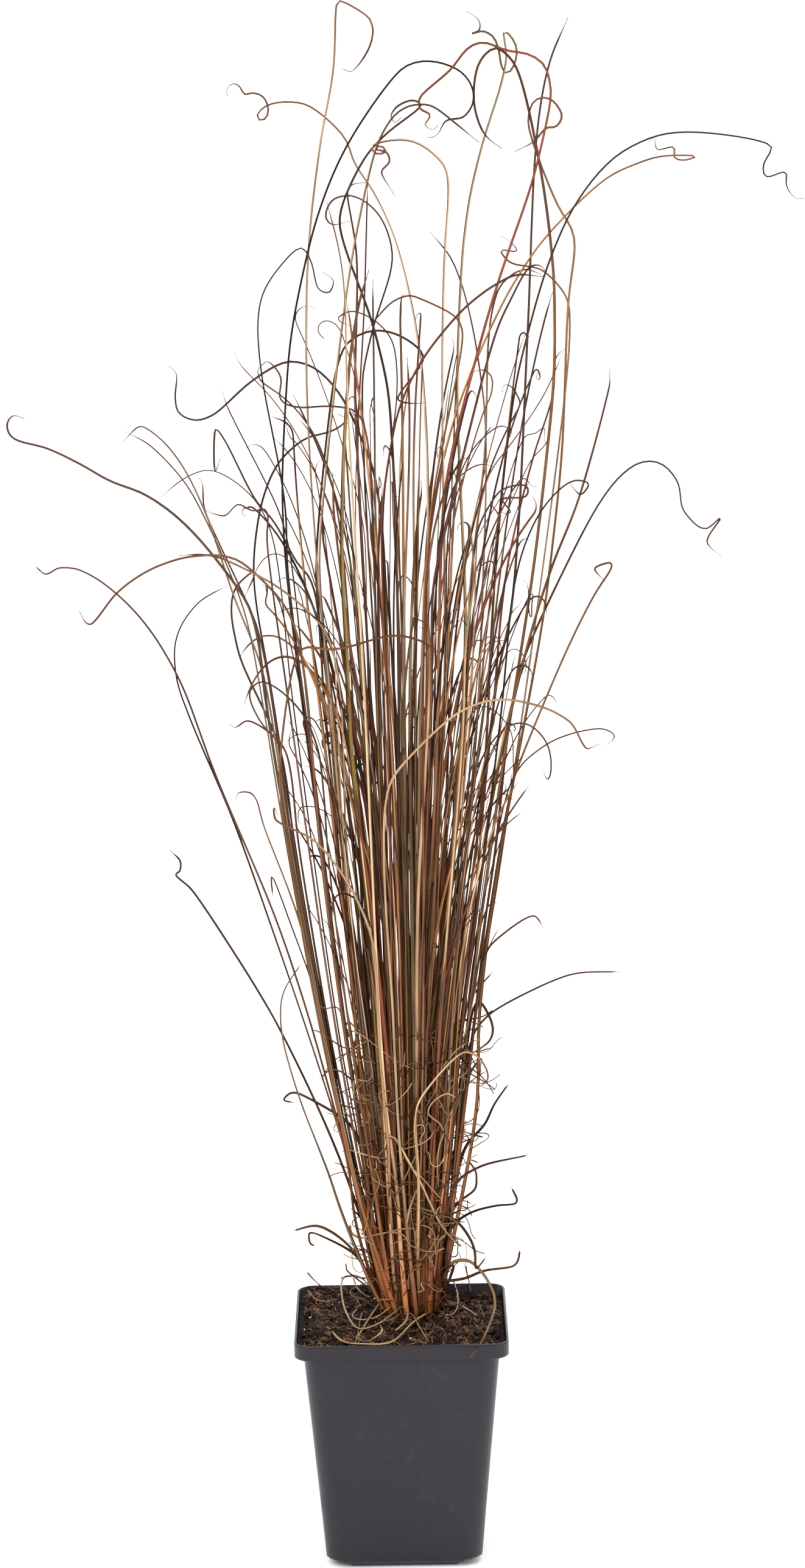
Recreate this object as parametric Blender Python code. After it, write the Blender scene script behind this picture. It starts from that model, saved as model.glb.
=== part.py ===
"""Potted sedge: a curly bronze sedge in a square nursery pot.

Metres, +Z up. The origin is the middle of the pot's underside, and +Y points away from the
viewer of the photograph. Each shoot is one solid: a sheath at the soil that runs on into its
main leaf. A leaf's route was read by eye as pixels of the photograph, and is carried back into
the room at the depth that the leaf leans to.
"""

from collections import namedtuple
from math import cos, pi, radians, sin

import bmesh
import bpy
import numpy as np
from mathutils import Vector

MM = 0.001

# Pot
RIM_WIDTH = 110 * MM
RIM_RADIUS = 9.5 * MM
RIM_HEIGHT = 8.5 * MM
RIM_WALL = 1.3 * MM
POT_HEIGHT = 124.3 * MM
BODY_TOP_WIDTH = 102.3 * MM
BODY_BOTTOM_WIDTH = 80.9 * MM
BODY_RADIUS = 10 * MM
POT_WALL = 1.3 * MM
FLOOR_THICKNESS = 1.6 * MM
EDGE_EASE = 0.6 * MM
FOOT_HALF = 27 * MM
CORNER_LIFT = 4.2 * MM
DRAIN_RADIUS = 2.4 * MM
DRAIN_OFFSET = 34.2 * MM
CORNER_STEPS = 6

# Soil
GAP = 0.3 * MM
SOIL_EDGE = 120.3 * MM
SOIL_TOP = 121 * MM
CROWN = Vector((5.5 * MM, 16 * MM, 0))
CROWN_HALF = 21 * MM

# Shoots stand in rows, nearest row first, each row half a place off the next
ROW_COUNTS = (4, 5, 6, 7, 8, 7, 6, 5, 4)
ROW_PITCH = 3.7 * MM
COLUMN_PITCH = 4.6 * MM
SHEATH_WIDTH = 3.3 * MM
SHEATH_LENGTH = 20 * MM
SHEATH_END = 120 * MM
TIP_SHARE = 0.42
LEAST_WIDTH = 0.75 * MM
ROUTE_TOLERANCE = 0.55 * MM
LEAF_GAP = 0.6 * MM
SECTION_REACH = 0.54

# The photograph's camera, in its own 1322 x 2576 pixels
CAMERA_PLACE = np.array((4.5 * MM, -2400 * MM, 854.6 * MM))
CAMERA_PITCH = radians(10.6)
CAMERA_ROLL = radians(0.8)
FOCAL_PIXELS = 7857
PHOTO_MIDDLE = np.array((661, 1288))

# The tuft as a fan in the photograph: its middle and half width at some heights, in pixels
FAN_LEVEL = (560, 860, 1290, 1600, 1900, 2150)
FAN_MIDDLE = (633, 640, 650, 649, 662, 677)
FAN_HALF = (305, 260, 195, 144, 88, 57)
FAN_STOPS = (1950, 1700, 1400, 1150)
FAN_CLEARANCE = 130

TAN = (0.56, 0.37, 0.20)
STRAW = (0.66, 0.46, 0.22)
ORANGE = (0.38, 0.13, 0.03)
RED = (0.20, 0.05, 0.02)
BROWN = (0.12, 0.06, 0.03)
DARK = (0.03, 0.02, 0.016)
OLIVE = (0.14, 0.09, 0.03)
MAUVE = (0.28, 0.13, 0.12)

# width in mm, lean = how far the tip stands behind its base in mm, route in pixels, base first
Leaf = namedtuple("Leaf", "name width lean colour route")

LEAVES = (
    Leaf("tall_hook", 1.5, 35, TAN, (
        (522, 940), (514, 840), (509, 760), (503, 600), (503, 520), (507, 400), (516, 320),
        (525, 240), (538, 160), (546, 120), (550, 60), (551, 20), (554, 3), (560, 1), (580, 12),
        (599, 23), (608, 32), (613, 54), (608, 75), (596, 96), (582, 114), (573, 118), (563, 113))),
    Leaf("dark_arc", 1.5, -45, DARK, (
        (471, 940), (464, 800), (469, 680), (475, 580), (487, 500), (505, 420), (520, 360),
        (542, 300), (559, 260), (581, 220), (608, 180), (635, 140), (660, 113), (680, 103),
        (700, 100), (720, 102), (740, 109), (760, 120), (776, 144), (777, 170), (762, 192),
        (748, 196), (731, 200), (727, 211), (712, 225), (703, 226))),
    Leaf("upper_left_curl", 2.1, 75, MAUVE, (
        (703, 900), (700, 710), (691, 590), (676, 500), (660, 430), (642, 375), (626, 340),
        (606, 302), (582, 267), (570, 234), (557, 215), (537, 196), (508, 174), (483, 168),
        (451, 169), (431, 178), (422, 190), (428, 198), (437, 193), (440, 176), (430, 158),
        (413, 153), (402, 155), (391, 140), (381, 138), (372, 149), (374, 158))),
    Leaf("tan_right_tip", 1.9, -80, TAN, (
        (525, 940), (533, 800), (546, 680), (554, 600), (563, 535), (572, 470), (580, 410),
        (590, 360), (598, 330), (604, 297), (612, 261), (621, 234), (634, 208), (651, 186),
        (671, 174), (690, 171), (710, 174), (730, 189), (760, 214), (787, 234))),
    Leaf("s_black", 1.5, 20, DARK, (
        (652, 950), (646, 760), (637, 640), (629, 600), (613, 535), (590, 470), (575, 428),
        (562, 390), (558, 365), (562, 338), (581, 300), (598, 262), (621, 234), (648, 208),
        (676, 187), (692, 172), (680, 165), (655, 173), (642, 191), (649, 201), (659, 193))),
    Leaf("brown_arc", 2.1, -20, TAN, (
        (731, 1100), (728, 900), (726, 700), (727, 540), (731, 400), (736, 340), (733, 280),
        (720, 260), (692, 238), (668, 230), (630, 233), (610, 242), (616, 252), (634, 250),
        (625, 239), (617, 245), (635, 250), (640, 266), (627, 282), (636, 302), (648, 321))),
    Leaf("loop_top", 1.9, 60, STRAW, (
        (765, 1060), (758, 850), (752, 640), (756, 500), (761, 410), (772, 325), (785, 268),
        (797, 222), (812, 176), (826, 127), (832, 90), (828, 50), (846, 70), (849, 92),
        (841, 114), (831, 121), (823, 108), (818, 80), (809, 60), (790, 51), (773, 56),
        (787, 50), (787, 34), (766, 18))),
    Leaf("red_arc", 1.6, -70, RED, (
        (730, 810), (748, 720), (768, 640), (792, 550), (822, 450), (850, 370), (873, 300),
        (886, 250), (899, 190), (904, 150), (893, 107), (866, 89), (832, 83), (791, 70),
        (768, 80), (744, 110), (708, 144), (690, 160), (690, 179), (706, 189), (698, 206),
        (712, 213), (719, 205))),
    Leaf("straight_tip", 1.3, 95, BROWN, (
        (803, 1220), (818, 1105), (838, 1010), (850, 880), (857, 760), (864, 600), (871, 450),
        (878, 300), (883, 210), (891, 160), (905, 95), (920, 60), (933, 28))),
    Leaf("orange_thick_hook", 1.9, -35, ORANGE, (
        (823, 1270), (852, 1090), (877, 920), (897, 750), (909, 620), (909, 460), (902, 380),
        (887, 275), (866, 180), (846, 107), (828, 86), (812, 79), (798, 88), (785, 108),
        (778, 150), (782, 188), (797, 222), (824, 244))),
    Leaf("kinked_orange", 1.9, 30, ORANGE, (
        (750, 1920), (762, 1820), (781, 1700), (795, 1600), (820, 1410), (848, 1260), (873, 1130),
        (893, 1010), (907, 900), (923, 740), (930, 570), (933, 500), (942, 388), (917, 340),
        (886, 265), (867, 195), (880, 163), (903, 162), (923, 190), (913, 208), (898, 210),
        (876, 233), (845, 249))),
    Leaf("far_right_arch", 1.3, -60, DARK, (
        (797, 1250), (803, 1120), (816, 910), (834, 730), (850, 620), (878, 510), (908, 413),
        (943, 340), (980, 288), (1020, 251), (1080, 223), (1130, 217), (1200, 223), (1255, 234),
        (1267, 242), (1253, 275), (1258, 290), (1290, 283), (1292, 306), (1305, 324), (1321, 327))),
    Leaf("orange_arch", 1.6, 85, ORANGE, (
        (697, 960), (711, 845), (730, 745), (762, 640), (790, 575), (820, 508), (856, 445),
        (893, 393), (943, 340), (994, 294), (1040, 271), (1085, 257), (1143, 257), (1128, 263),
        (1108, 260), (1106, 242), (1079, 245), (1074, 226), (1065, 234))),
    Leaf("red_kink", 1.5, -150, RED, (
        (712, 960), (733, 870), (753, 780), (772, 705), (790, 640), (812, 555), (842, 487),
        (872, 438), (888, 437), (903, 455))),
    Leaf("golden_kink", 1.9, 150, STRAW, (
        (772, 960), (787, 830), (797, 720), (800, 600), (806, 520), (825, 465), (862, 443),
        (898, 455))),
    Leaf("red_slant", 1.6, -140, RED, (
        (627, 850), (638, 755), (654, 675), (683, 608), (710, 567), (748, 521), (795, 480),
        (848, 452), (895, 455))),
    Leaf("arc_fold", 1.5, 50, DARK, (
        (519, 940), (531, 780), (543, 660), (557, 590), (572, 562), (607, 544), (645, 547),
        (683, 569), (695, 588), (668, 630), (653, 656), (668, 662), (701, 662))),
    Leaf("kink_fold", 1.6, -30, ORANGE, (
        (705, 870), (725, 735), (748, 612), (759, 545), (748, 521), (715, 505), (675, 486),
        (645, 496), (614, 527), (600, 545))),
    Leaf("gray_right", 1.2, 165, MAUVE, (
        (782, 1200), (791, 1000), (797, 710), (787, 605), (768, 505), (742, 428), (706, 381))),
    Leaf("red_hook", 1.6, -60, RED, (
        (583, 640), (584, 540), (583, 480), (585, 420), (576, 350), (571, 312), (583, 301),
        (601, 300))),
    Leaf("red_straight", 1.3, 180, RED, (
        (588, 740), (594, 600), (600, 470), (604, 300))),
    Leaf("blunt_tan", 1.6, -165, TAN, (
        (570, 640), (567, 500), (558, 420), (536, 329))),
    Leaf("big_bow", 1.3, 130, DARK, (
        (595, 625), (603, 580), (621, 508), (638, 458), (644, 420), (630, 367), (605, 336),
        (575, 322), (545, 330), (535, 357), (545, 369), (567, 364), (576, 363))),
    Leaf("broad_centre", 3.6, -100, OLIVE, (
        (625, 1790), (612, 1600), (594, 1400), (576, 1220), (567, 1000), (562, 900), (567, 710),
        (577, 575), (593, 485), (606, 443))),
    Leaf("black_left_big", 1.3, -50, DARK, (
        (471, 920), (469, 840), (448, 715), (431, 625), (423, 540), (429, 490), (442, 462),
        (472, 424), (495, 407), (511, 430), (524, 475), (541, 480), (547, 460), (530, 447))),
    Leaf("long_s", 2.4, 40, OLIVE, (
        (628, 880), (613, 775), (584, 700), (556, 645), (515, 604), (475, 594), (440, 608),
        (393, 642), (350, 681), (320, 690), (294, 678), (288, 655), (289, 613), (277, 601))),
    Leaf("square_turn", 1.4, -75, BROWN, (
        (600, 710), (583, 676), (540, 668), (480, 668), (460, 655), (460, 618), (438, 594),
        (424, 606))),
    Leaf("brown_folded", 1.6, 65, BROWN, (
        (512, 958), (488, 925), (450, 858), (420, 822), (385, 753), (355, 705), (352, 735),
        (354, 774), (362, 753))),
    Leaf("far_left", 1.6, -15, OLIVE, (
        (412, 1005), (355, 920), (300, 858), (240, 814), (180, 790), (130, 762), (62, 731),
        (20, 719), (11, 698), (22, 683), (40, 688))),
    Leaf("left_dark_hook", 1.6, 25, TAN, (
        (430, 1100), (399, 1020), (370, 940), (338, 845), (302, 770), (265, 723), (230, 701),
        (210, 718), (200, 728))),
    Leaf("wavy_black", 1.3, -85, DARK, (
        (447, 960), (439, 885), (437, 838), (415, 839), (391, 829), (370, 847), (335, 838))),
    Leaf("black_stem_left", 1.3, 90, DARK, (
        (417, 960), (420, 880), (433, 815), (458, 760), (500, 722), (545, 708), (568, 690),
        (555, 680))),
    Leaf("left_dark_arch", 1.3, -40, DARK, (
        (497, 1640), (455, 1515), (405, 1395), (347, 1255), (303, 1135), (250, 1040), (190, 974),
        (130, 936), (92, 934), (75, 943), (59, 931), (67, 937))),
    Leaf("left_thin_arch", 1.3, -70, BROWN, (
        (480, 1020), (425, 948), (380, 916), (310, 915), (250, 934), (193, 973), (168, 1005),
        (146, 1026), (130, 1004))),
    Leaf("black_hook_left", 1.3, 150, DARK, (
        (460, 1230), (420, 1140), (394, 1078), (380, 1000), (388, 965), (418, 939), (402, 980))),
    Leaf("loop_left", 1.4, -140, DARK, (
        (520, 1225), (485, 1158), (430, 1120), (411, 1135), (420, 1172), (462, 1225))),
    Leaf("low_orange_arc", 1.6, -150, ORANGE, (
        (460, 1290), (467, 1200), (480, 1105), (498, 1066), (545, 1067), (600, 1058), (640, 1045),
        (690, 1053), (722, 1073))),
    Leaf("left_low", 1.4, 15, BROWN, (
        (550, 1900), (515, 1815), (460, 1690), (415, 1613), (357, 1524), (316, 1463), (288, 1435),
        (293, 1435), (296, 1415), (279, 1397))),
    Leaf("tan_curl_left", 1.6, -90, TAN, (
        (500, 1540), (470, 1450), (433, 1355), (415, 1305), (392, 1303), (387, 1314))),
    Leaf("curl_knot", 1.5, -120, TAN, (
        (610, 1540), (563, 1438), (512, 1378), (452, 1345), (450, 1327), (457, 1338))),
    Leaf("black_short", 1.3, 120, DARK, (
        (520, 1640), (500, 1580), (460, 1472), (446, 1440), (448, 1474))),
    Leaf("outer_left", 1.3, -60, TAN, (
        (575, 2030), (540, 1930), (487, 1790), (462, 1690), (465, 1632), (495, 1582))),
    Leaf("orange_right", 1.6, 20, ORANGE, (
        (842, 1285), (865, 1225), (900, 1138), (940, 1047), (985, 960), (1005, 926), (977, 934),
        (994, 955))),
    Leaf("right_long_arc", 1.2, -150, TAN, (
        (640, 1290), (680, 1240), (720, 1197), (760, 1167), (800, 1152), (840, 1150), (900, 1165),
        (940, 1190), (965, 1230), (984, 1222))),
    Leaf("right_arch", 1.3, 80, BROWN, (
        (842, 1280), (890, 1228), (940, 1205), (992, 1198), (1009, 1209), (998, 1223))),
    Leaf("right_straight", 2.4, -25, ORANGE, (
        (808, 1320), (832, 1210), (868, 1055), (905, 935), (945, 835), (975, 725), (1001, 630),
        (1001, 606))),
    Leaf("right_zigzag", 1.2, 45, DARK, (
        (850, 1115), (895, 1005), (945, 900), (1005, 798), (1050, 761), (1083, 761), (1112, 790),
        (1121, 835), (1157, 869), (1184, 850), (1161, 890), (1184, 913))),
    Leaf("circle_tip", 1.3, -90, DARK, (
        (845, 960), (868, 880), (900, 824), (942, 790), (966, 795), (953, 812), (936, 795))),
    Leaf("red_orange", 1.6, 75, RED, (
        (828, 960), (852, 840), (877, 745), (908, 645), (913, 587), (931, 571))),
    Leaf("black_loop_right", 1.3, -115, DARK, (
        (783, 880), (800, 838), (825, 805), (865, 799), (865, 815), (825, 821), (838, 842),
        (815, 842))),
    Leaf("right_low_arch", 1.4, 30, DARK, (
        (775, 1705), (803, 1667), (860, 1634), (940, 1600), (1018, 1596))),
    Leaf("golden_arc", 1.6, -105, STRAW, (
        (687, 1815), (720, 1770), (762, 1729), (788, 1740), (801, 1772), (786, 1787))),
)


def start_empty():
    """Remove what the file holds and make one collection for the parts, one for the guides."""
    for thing in list(bpy.data.objects):
        bpy.data.objects.remove(thing, do_unlink=True)
    parts = bpy.data.collections.new("potted_sedge")
    guides = bpy.data.collections.new("cutters_and_guides")
    bpy.context.scene.collection.children.link(parts)
    bpy.context.scene.collection.children.link(guides)
    return parts, guides


def material(name, colour, roughness):
    """A plain Principled material."""
    made = bpy.data.materials.new(name)
    made.use_nodes = True
    shader = made.node_tree.nodes["Principled BSDF"]
    shader.inputs["Base Color"].default_value = (*colour, 1)
    shader.inputs["Roughness"].default_value = roughness
    shader.inputs["Metallic"].default_value = 0
    return made


def place(collection, name, data, finish=None):
    """Put a mesh or curve in the scene under its node's name."""
    thing = bpy.data.objects.new(name, data)
    collection.objects.link(thing)
    if finish:
        data.materials.append(finish)
    return thing


def as_guide(thing):
    """Mark a cutter or a section as something that isn't part of the object."""
    thing.hide_render = True
    thing.display_type = "WIRE"
    return thing


def rounded_square(half, radius, height, middle=(0, 0)):
    """A square ring with round corners: each corner is a quarter circle about its own centre."""
    ring = []
    for corner in range(4):
        centre_turn = pi / 4 + corner * pi / 2
        reach = (half - radius) * 2 ** 0.5
        for step in range(CORNER_STEPS + 1):
            turn = corner * pi / 2 + step * pi / 2 / CORNER_STEPS
            ring.append((
                middle[0] + reach * cos(centre_turn) + radius * cos(turn),
                middle[1] + reach * sin(centre_turn) + radius * sin(turn),
                height))
    return ring


def loft(name, rings):
    """Join rings of equal count, bottom ring first, and close both ends."""
    work = bmesh.new()
    rows = [[work.verts.new(point) for point in ring] for ring in rings]
    count = len(rows[0])
    for lower, upper in zip(rows, rows[1:]):
        for i in range(count):
            j = (i + 1) % count
            work.faces.new((lower[i], lower[j], upper[j], upper[i]))
    work.faces.new(reversed(rows[0]))
    work.faces.new(rows[-1])
    mesh = bpy.data.meshes.new(name)
    work.to_mesh(mesh)
    work.free()
    return mesh


def body_half(height, inset=0):
    """Half the width of the pot's tapering body at a height."""
    share = height / POT_HEIGHT
    return (BODY_BOTTOM_WIDTH * (1 - share) + BODY_TOP_WIDTH * share) / 2 - inset


def cut(thing, cutter, operation="DIFFERENCE"):
    """Add an exact Boolean."""
    step = thing.modifiers.new(cutter.name, "BOOLEAN")
    step.operation = operation
    step.solver = "EXACT"
    step.object = cutter


def corner_blocks(guides, name, lift):
    """Four blocks under the corners, their inner sides sloping at 45 degrees."""
    work = bmesh.new()
    outer = BODY_BOTTOM_WIDTH / 2 + 5 * MM
    low = -2 * MM
    for sx in (-1, 1):
        for sy in (-1, 1):
            made = bmesh.ops.create_cube(work, size=1)["verts"]
            for vert in made:
                height = lift if vert.co.z > 0 else low
                slope = FOOT_HALF + height
                x = slope if vert.co.x * sx < 0 else outer
                y = slope if vert.co.y * sy < 0 else outer
                vert.co = (sx * x, sy * y, height)
    mesh = bpy.data.meshes.new(name)
    work.to_mesh(mesh)
    work.free()
    return as_guide(place(guides, name, mesh))


def drain_cutters(guides):
    """One round drain hole in each raised corner."""
    work = bmesh.new()
    for sx in (-1, 1):
        for sy in (-1, 1):
            made = bmesh.ops.create_cone(
                work, cap_ends=True, segments=12, radius1=DRAIN_RADIUS, radius2=DRAIN_RADIUS,
                depth=4 * FLOOR_THICKNESS)["verts"]
            bmesh.ops.translate(
                work, verts=made, vec=(sx * DRAIN_OFFSET, sy * DRAIN_OFFSET, CORNER_LIFT))
    mesh = bpy.data.meshes.new("drain_holes")
    work.to_mesh(mesh)
    work.free()
    return as_guide(place(guides, "drain_holes", mesh))


def build_pot(parts, guides):
    """Tapering wall, a rim band stepped out from it, floor on a square foot with raised corners."""
    rim_half = RIM_WIDTH / 2
    rim_low = POT_HEIGHT - RIM_HEIGHT
    outside = [
        rounded_square(body_half(0, EDGE_EASE), BODY_RADIUS, 0),
        rounded_square(body_half(EDGE_EASE), BODY_RADIUS, EDGE_EASE),
        rounded_square(body_half(rim_low), BODY_RADIUS, rim_low),
        rounded_square(rim_half - EDGE_EASE, RIM_RADIUS, rim_low),
        rounded_square(rim_half, RIM_RADIUS, rim_low + EDGE_EASE),
        rounded_square(rim_half, RIM_RADIUS, POT_HEIGHT - EDGE_EASE),
        rounded_square(rim_half - EDGE_EASE, RIM_RADIUS - EDGE_EASE, POT_HEIGHT),
    ]
    finish = material("pot plastic", (0.058, 0.055, 0.065), 0.55)
    pot = place(parts, "pot", loft("pot", outside), finish)
    cut(pot, corner_blocks(guides, "corner_lift", CORNER_LIFT))

    shelf = rim_low + RIM_WALL
    well_corner = BODY_RADIUS - POT_WALL
    rim_corner = RIM_RADIUS - RIM_WALL
    inside = [
        rounded_square(body_half(FLOOR_THICKNESS, POT_WALL), well_corner, FLOOR_THICKNESS),
        rounded_square(body_half(shelf, POT_WALL), well_corner, shelf),
        rounded_square(rim_half - RIM_WALL, rim_corner, shelf),
        rounded_square(rim_half - RIM_WALL, rim_corner, POT_HEIGHT + 1 * MM),
    ]
    well = as_guide(place(guides, "pot_well", loft("pot_well", inside)))
    cut(well, corner_blocks(guides, "corner_floor", CORNER_LIFT + FLOOR_THICKNESS))
    cut(pot, well)
    cut(pot, drain_cutters(guides))


def build_soil(parts):
    """Potting mix that fills the pot and its stepped rim, heaped to a flat crown under the tuft."""
    floor = CORNER_LIFT + FLOOR_THICKNESS + GAP
    shelf = POT_HEIGHT - RIM_HEIGHT + RIM_WALL + GAP
    inset = POT_WALL + GAP
    body_corner = BODY_RADIUS - inset
    edge_half = RIM_WIDTH / 2 - RIM_WALL - GAP
    edge_corner = RIM_RADIUS - RIM_WALL - GAP
    levels = ((0, 0), (0.45, 0.35), (0.8, 0.8), (1, 1))
    rings = [
        rounded_square(body_half(floor, inset), body_corner, floor),
        rounded_square(body_half(shelf, inset), body_corner, shelf),
        rounded_square(edge_half, edge_corner, shelf),
    ]
    for inward, upward in levels:
        half = edge_half + (CROWN_HALF - edge_half) * inward
        corner = edge_corner + (half * 0.9 - edge_corner) * inward
        height = SOIL_EDGE + (SOIL_TOP - SOIL_EDGE) * upward
        rings.append(rounded_square(half, corner, height, CROWN * inward))
    finish = material("potting mix", (0.045, 0.028, 0.018), 0.95)
    place(parts, "soil", loft("soil", rings), finish)


def camera_axes():
    """The camera's right, up and forward directions before its roll."""
    right = np.array((1.0, 0, 0))
    forward = np.array((0, cos(CAMERA_PITCH), -sin(CAMERA_PITCH)))
    up = np.array((0, sin(CAMERA_PITCH), cos(CAMERA_PITCH)))
    return right, up, forward


def to_room(pixels, depths):
    """Carry pixels back along their sight lines to planes at the given depths."""
    right, up, forward = camera_axes()
    across = (pixels[:, 0] - PHOTO_MIDDLE[0]) / FOCAL_PIXELS
    above = (PHOTO_MIDDLE[1] - pixels[:, 1]) / FOCAL_PIXELS
    level = across * cos(CAMERA_ROLL) + above * sin(CAMERA_ROLL)
    rise = above * cos(CAMERA_ROLL) - across * sin(CAMERA_ROLL)
    sight = forward + level[:, None] * right + rise[:, None] * up
    reach = (depths - CAMERA_PLACE[1]) / sight[:, 1]
    return CAMERA_PLACE + reach[:, None] * sight


def to_photo(point):
    """The pixel at which a point of the room shows."""
    right, up, forward = camera_axes()
    sight = np.array(point) - CAMERA_PLACE
    level = sight @ right / (sight @ forward)
    rise = sight @ up / (sight @ forward)
    across = level * cos(CAMERA_ROLL) - rise * sin(CAMERA_ROLL)
    above = rise * cos(CAMERA_ROLL) + level * sin(CAMERA_ROLL)
    return (PHOTO_MIDDLE[0] + FOCAL_PIXELS * across, PHOTO_MIDDLE[1] - FOCAL_PIXELS * above)


def smooth(points, steps=8):
    """A Catmull-Rom curve through the points, whose knots are the square roots of the gaps."""
    points = np.asarray(points, float)
    ends = np.vstack((2 * points[0] - points[1], points, 2 * points[-1] - points[-2]))
    knots = np.concatenate(((0,), np.cumsum(np.linalg.norm(np.diff(ends, axis=0), axis=1) ** 0.5)))
    p = [ends[i:len(ends) - 3 + i, None] for i in range(4)]
    t = [knots[i:len(ends) - 3 + i, None, None] for i in range(4)]
    at = t[1] + (t[2] - t[1]) * np.linspace(0, 1, steps, endpoint=False)[None, :, None]

    def between(a, b, low, high):
        return (a * (high - at) + b * (at - low)) / (high - low)

    first = between(p[0], p[1], t[0], t[1])
    second = between(p[1], p[2], t[1], t[2])
    third = between(p[2], p[3], t[2], t[3])
    near = between(first, second, t[0], t[2])
    far = between(second, third, t[1], t[3])
    curve = between(near, far, t[1], t[2]).reshape(-1, points.shape[1])
    return np.vstack((curve, points[-1]))


def lengths_along(points):
    """The distance along a line at each of its points."""
    return np.concatenate(((0,), np.cumsum(np.linalg.norm(np.diff(points, axis=0), axis=1))))


def simplify(points, tolerance):
    """Keep the fewest points whose straight runs stay within the tolerance of the line."""
    keep = {0, len(points) - 1}
    spans = [(0, len(points) - 1)]
    while spans:
        low, high = spans.pop()
        if high - low < 2:
            continue
        run = points[high] - points[low]
        offset = points[low:high + 1] - points[low]
        share = np.clip(offset @ run / max(run @ run, 1e-12), 0, 1)
        off = np.linalg.norm(offset - share[:, None] * run, axis=1)
        worst = int(np.argmax(off))
        if off[worst] > tolerance:
            keep.add(low + worst)
            spans += [(low, low + worst), (low + worst, high)]
    return points[sorted(keep)]


def fan_place(leaf):
    """Where a leaf stands in the fan: -1 at its left edge, 1 at its right edge."""
    x, y = leaf.route[0]
    offset = x - np.interp(y, FAN_LEVEL, FAN_MIDDLE)
    return float(np.clip(offset / np.interp(y, FAN_LEVEL, FAN_HALF), -1, 1))


def planting(leaves):
    """Give each leaf its base: leaves that lean forward in the front rows, in order across."""
    bases = {}
    waiting = sorted(leaves, key=lambda leaf: leaf.lean)
    for row, count in enumerate(ROW_COUNTS):
        taken = sorted(waiting[:count], key=fan_place)
        waiting = waiting[count:]
        for column, leaf in enumerate(taken):
            across = (column - (count - 1) / 2) * COLUMN_PITCH
            behind = (row - (len(ROW_COUNTS) - 1) / 2) * ROW_PITCH
            bases[leaf.name] = (CROWN.x + across, CROWN.y + behind, SOIL_TOP + GAP)
    return bases


def leaf_line(leaf, base):
    """A leaf's line in the room, from its base to its tip, as few points."""
    share = fan_place(leaf)
    start = leaf.route[0][1]
    stops = [
        (np.interp(y, FAN_LEVEL, FAN_MIDDLE) + share * np.interp(y, FAN_LEVEL, FAN_HALF), y)
        for y in FAN_STOPS if y > start + FAN_CLEARANCE]
    pixels = smooth([to_photo(base), *stops, *leaf.route])
    along = lengths_along(pixels)
    leaning = (along / along[-1]) ** 1.7
    points = to_room(pixels, base[1] + leaf.lean * MM * leaning)
    return simplify(points, ROUTE_TOLERANCE)


def leaf_widths(leaf, points):
    """Sheath width at the base, easing to the leaf's own width and narrowing to its tip."""
    along = lengths_along(points)
    out_of_sheath = np.clip((along - SHEATH_LENGTH) / (SHEATH_END - SHEATH_LENGTH), 0, 1)
    width = SHEATH_WIDTH + (leaf.width * MM - SHEATH_WIDTH) * out_of_sheath
    tip = np.clip(along / along[-1] * 2 - 1, 0, 1)
    return np.maximum(width * (1 - (1 - TIP_SHARE) * tip), LEAST_WIDTH)


def nearest_shares(a, b, c, d):
    """Where segments a-b and c-d pass closest, as shares along each."""
    u, v, w = b - a, d - c, a - c
    uu, uv, vv = (u * u).sum(1), (u * v).sum(1), (v * v).sum(1)
    uw, vw = (u * w).sum(1), (v * w).sum(1)
    s = np.clip((uv * vw - vv * uw) / np.maximum(uu * vv - uv * uv, 1e-15), 0, 1)
    t = np.clip((uv * s + vw) / np.maximum(vv, 1e-15), 0, 1)
    s = np.clip((uv * t - uw) / np.maximum(uu, 1e-15), 0, 1)
    return s, t


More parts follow.
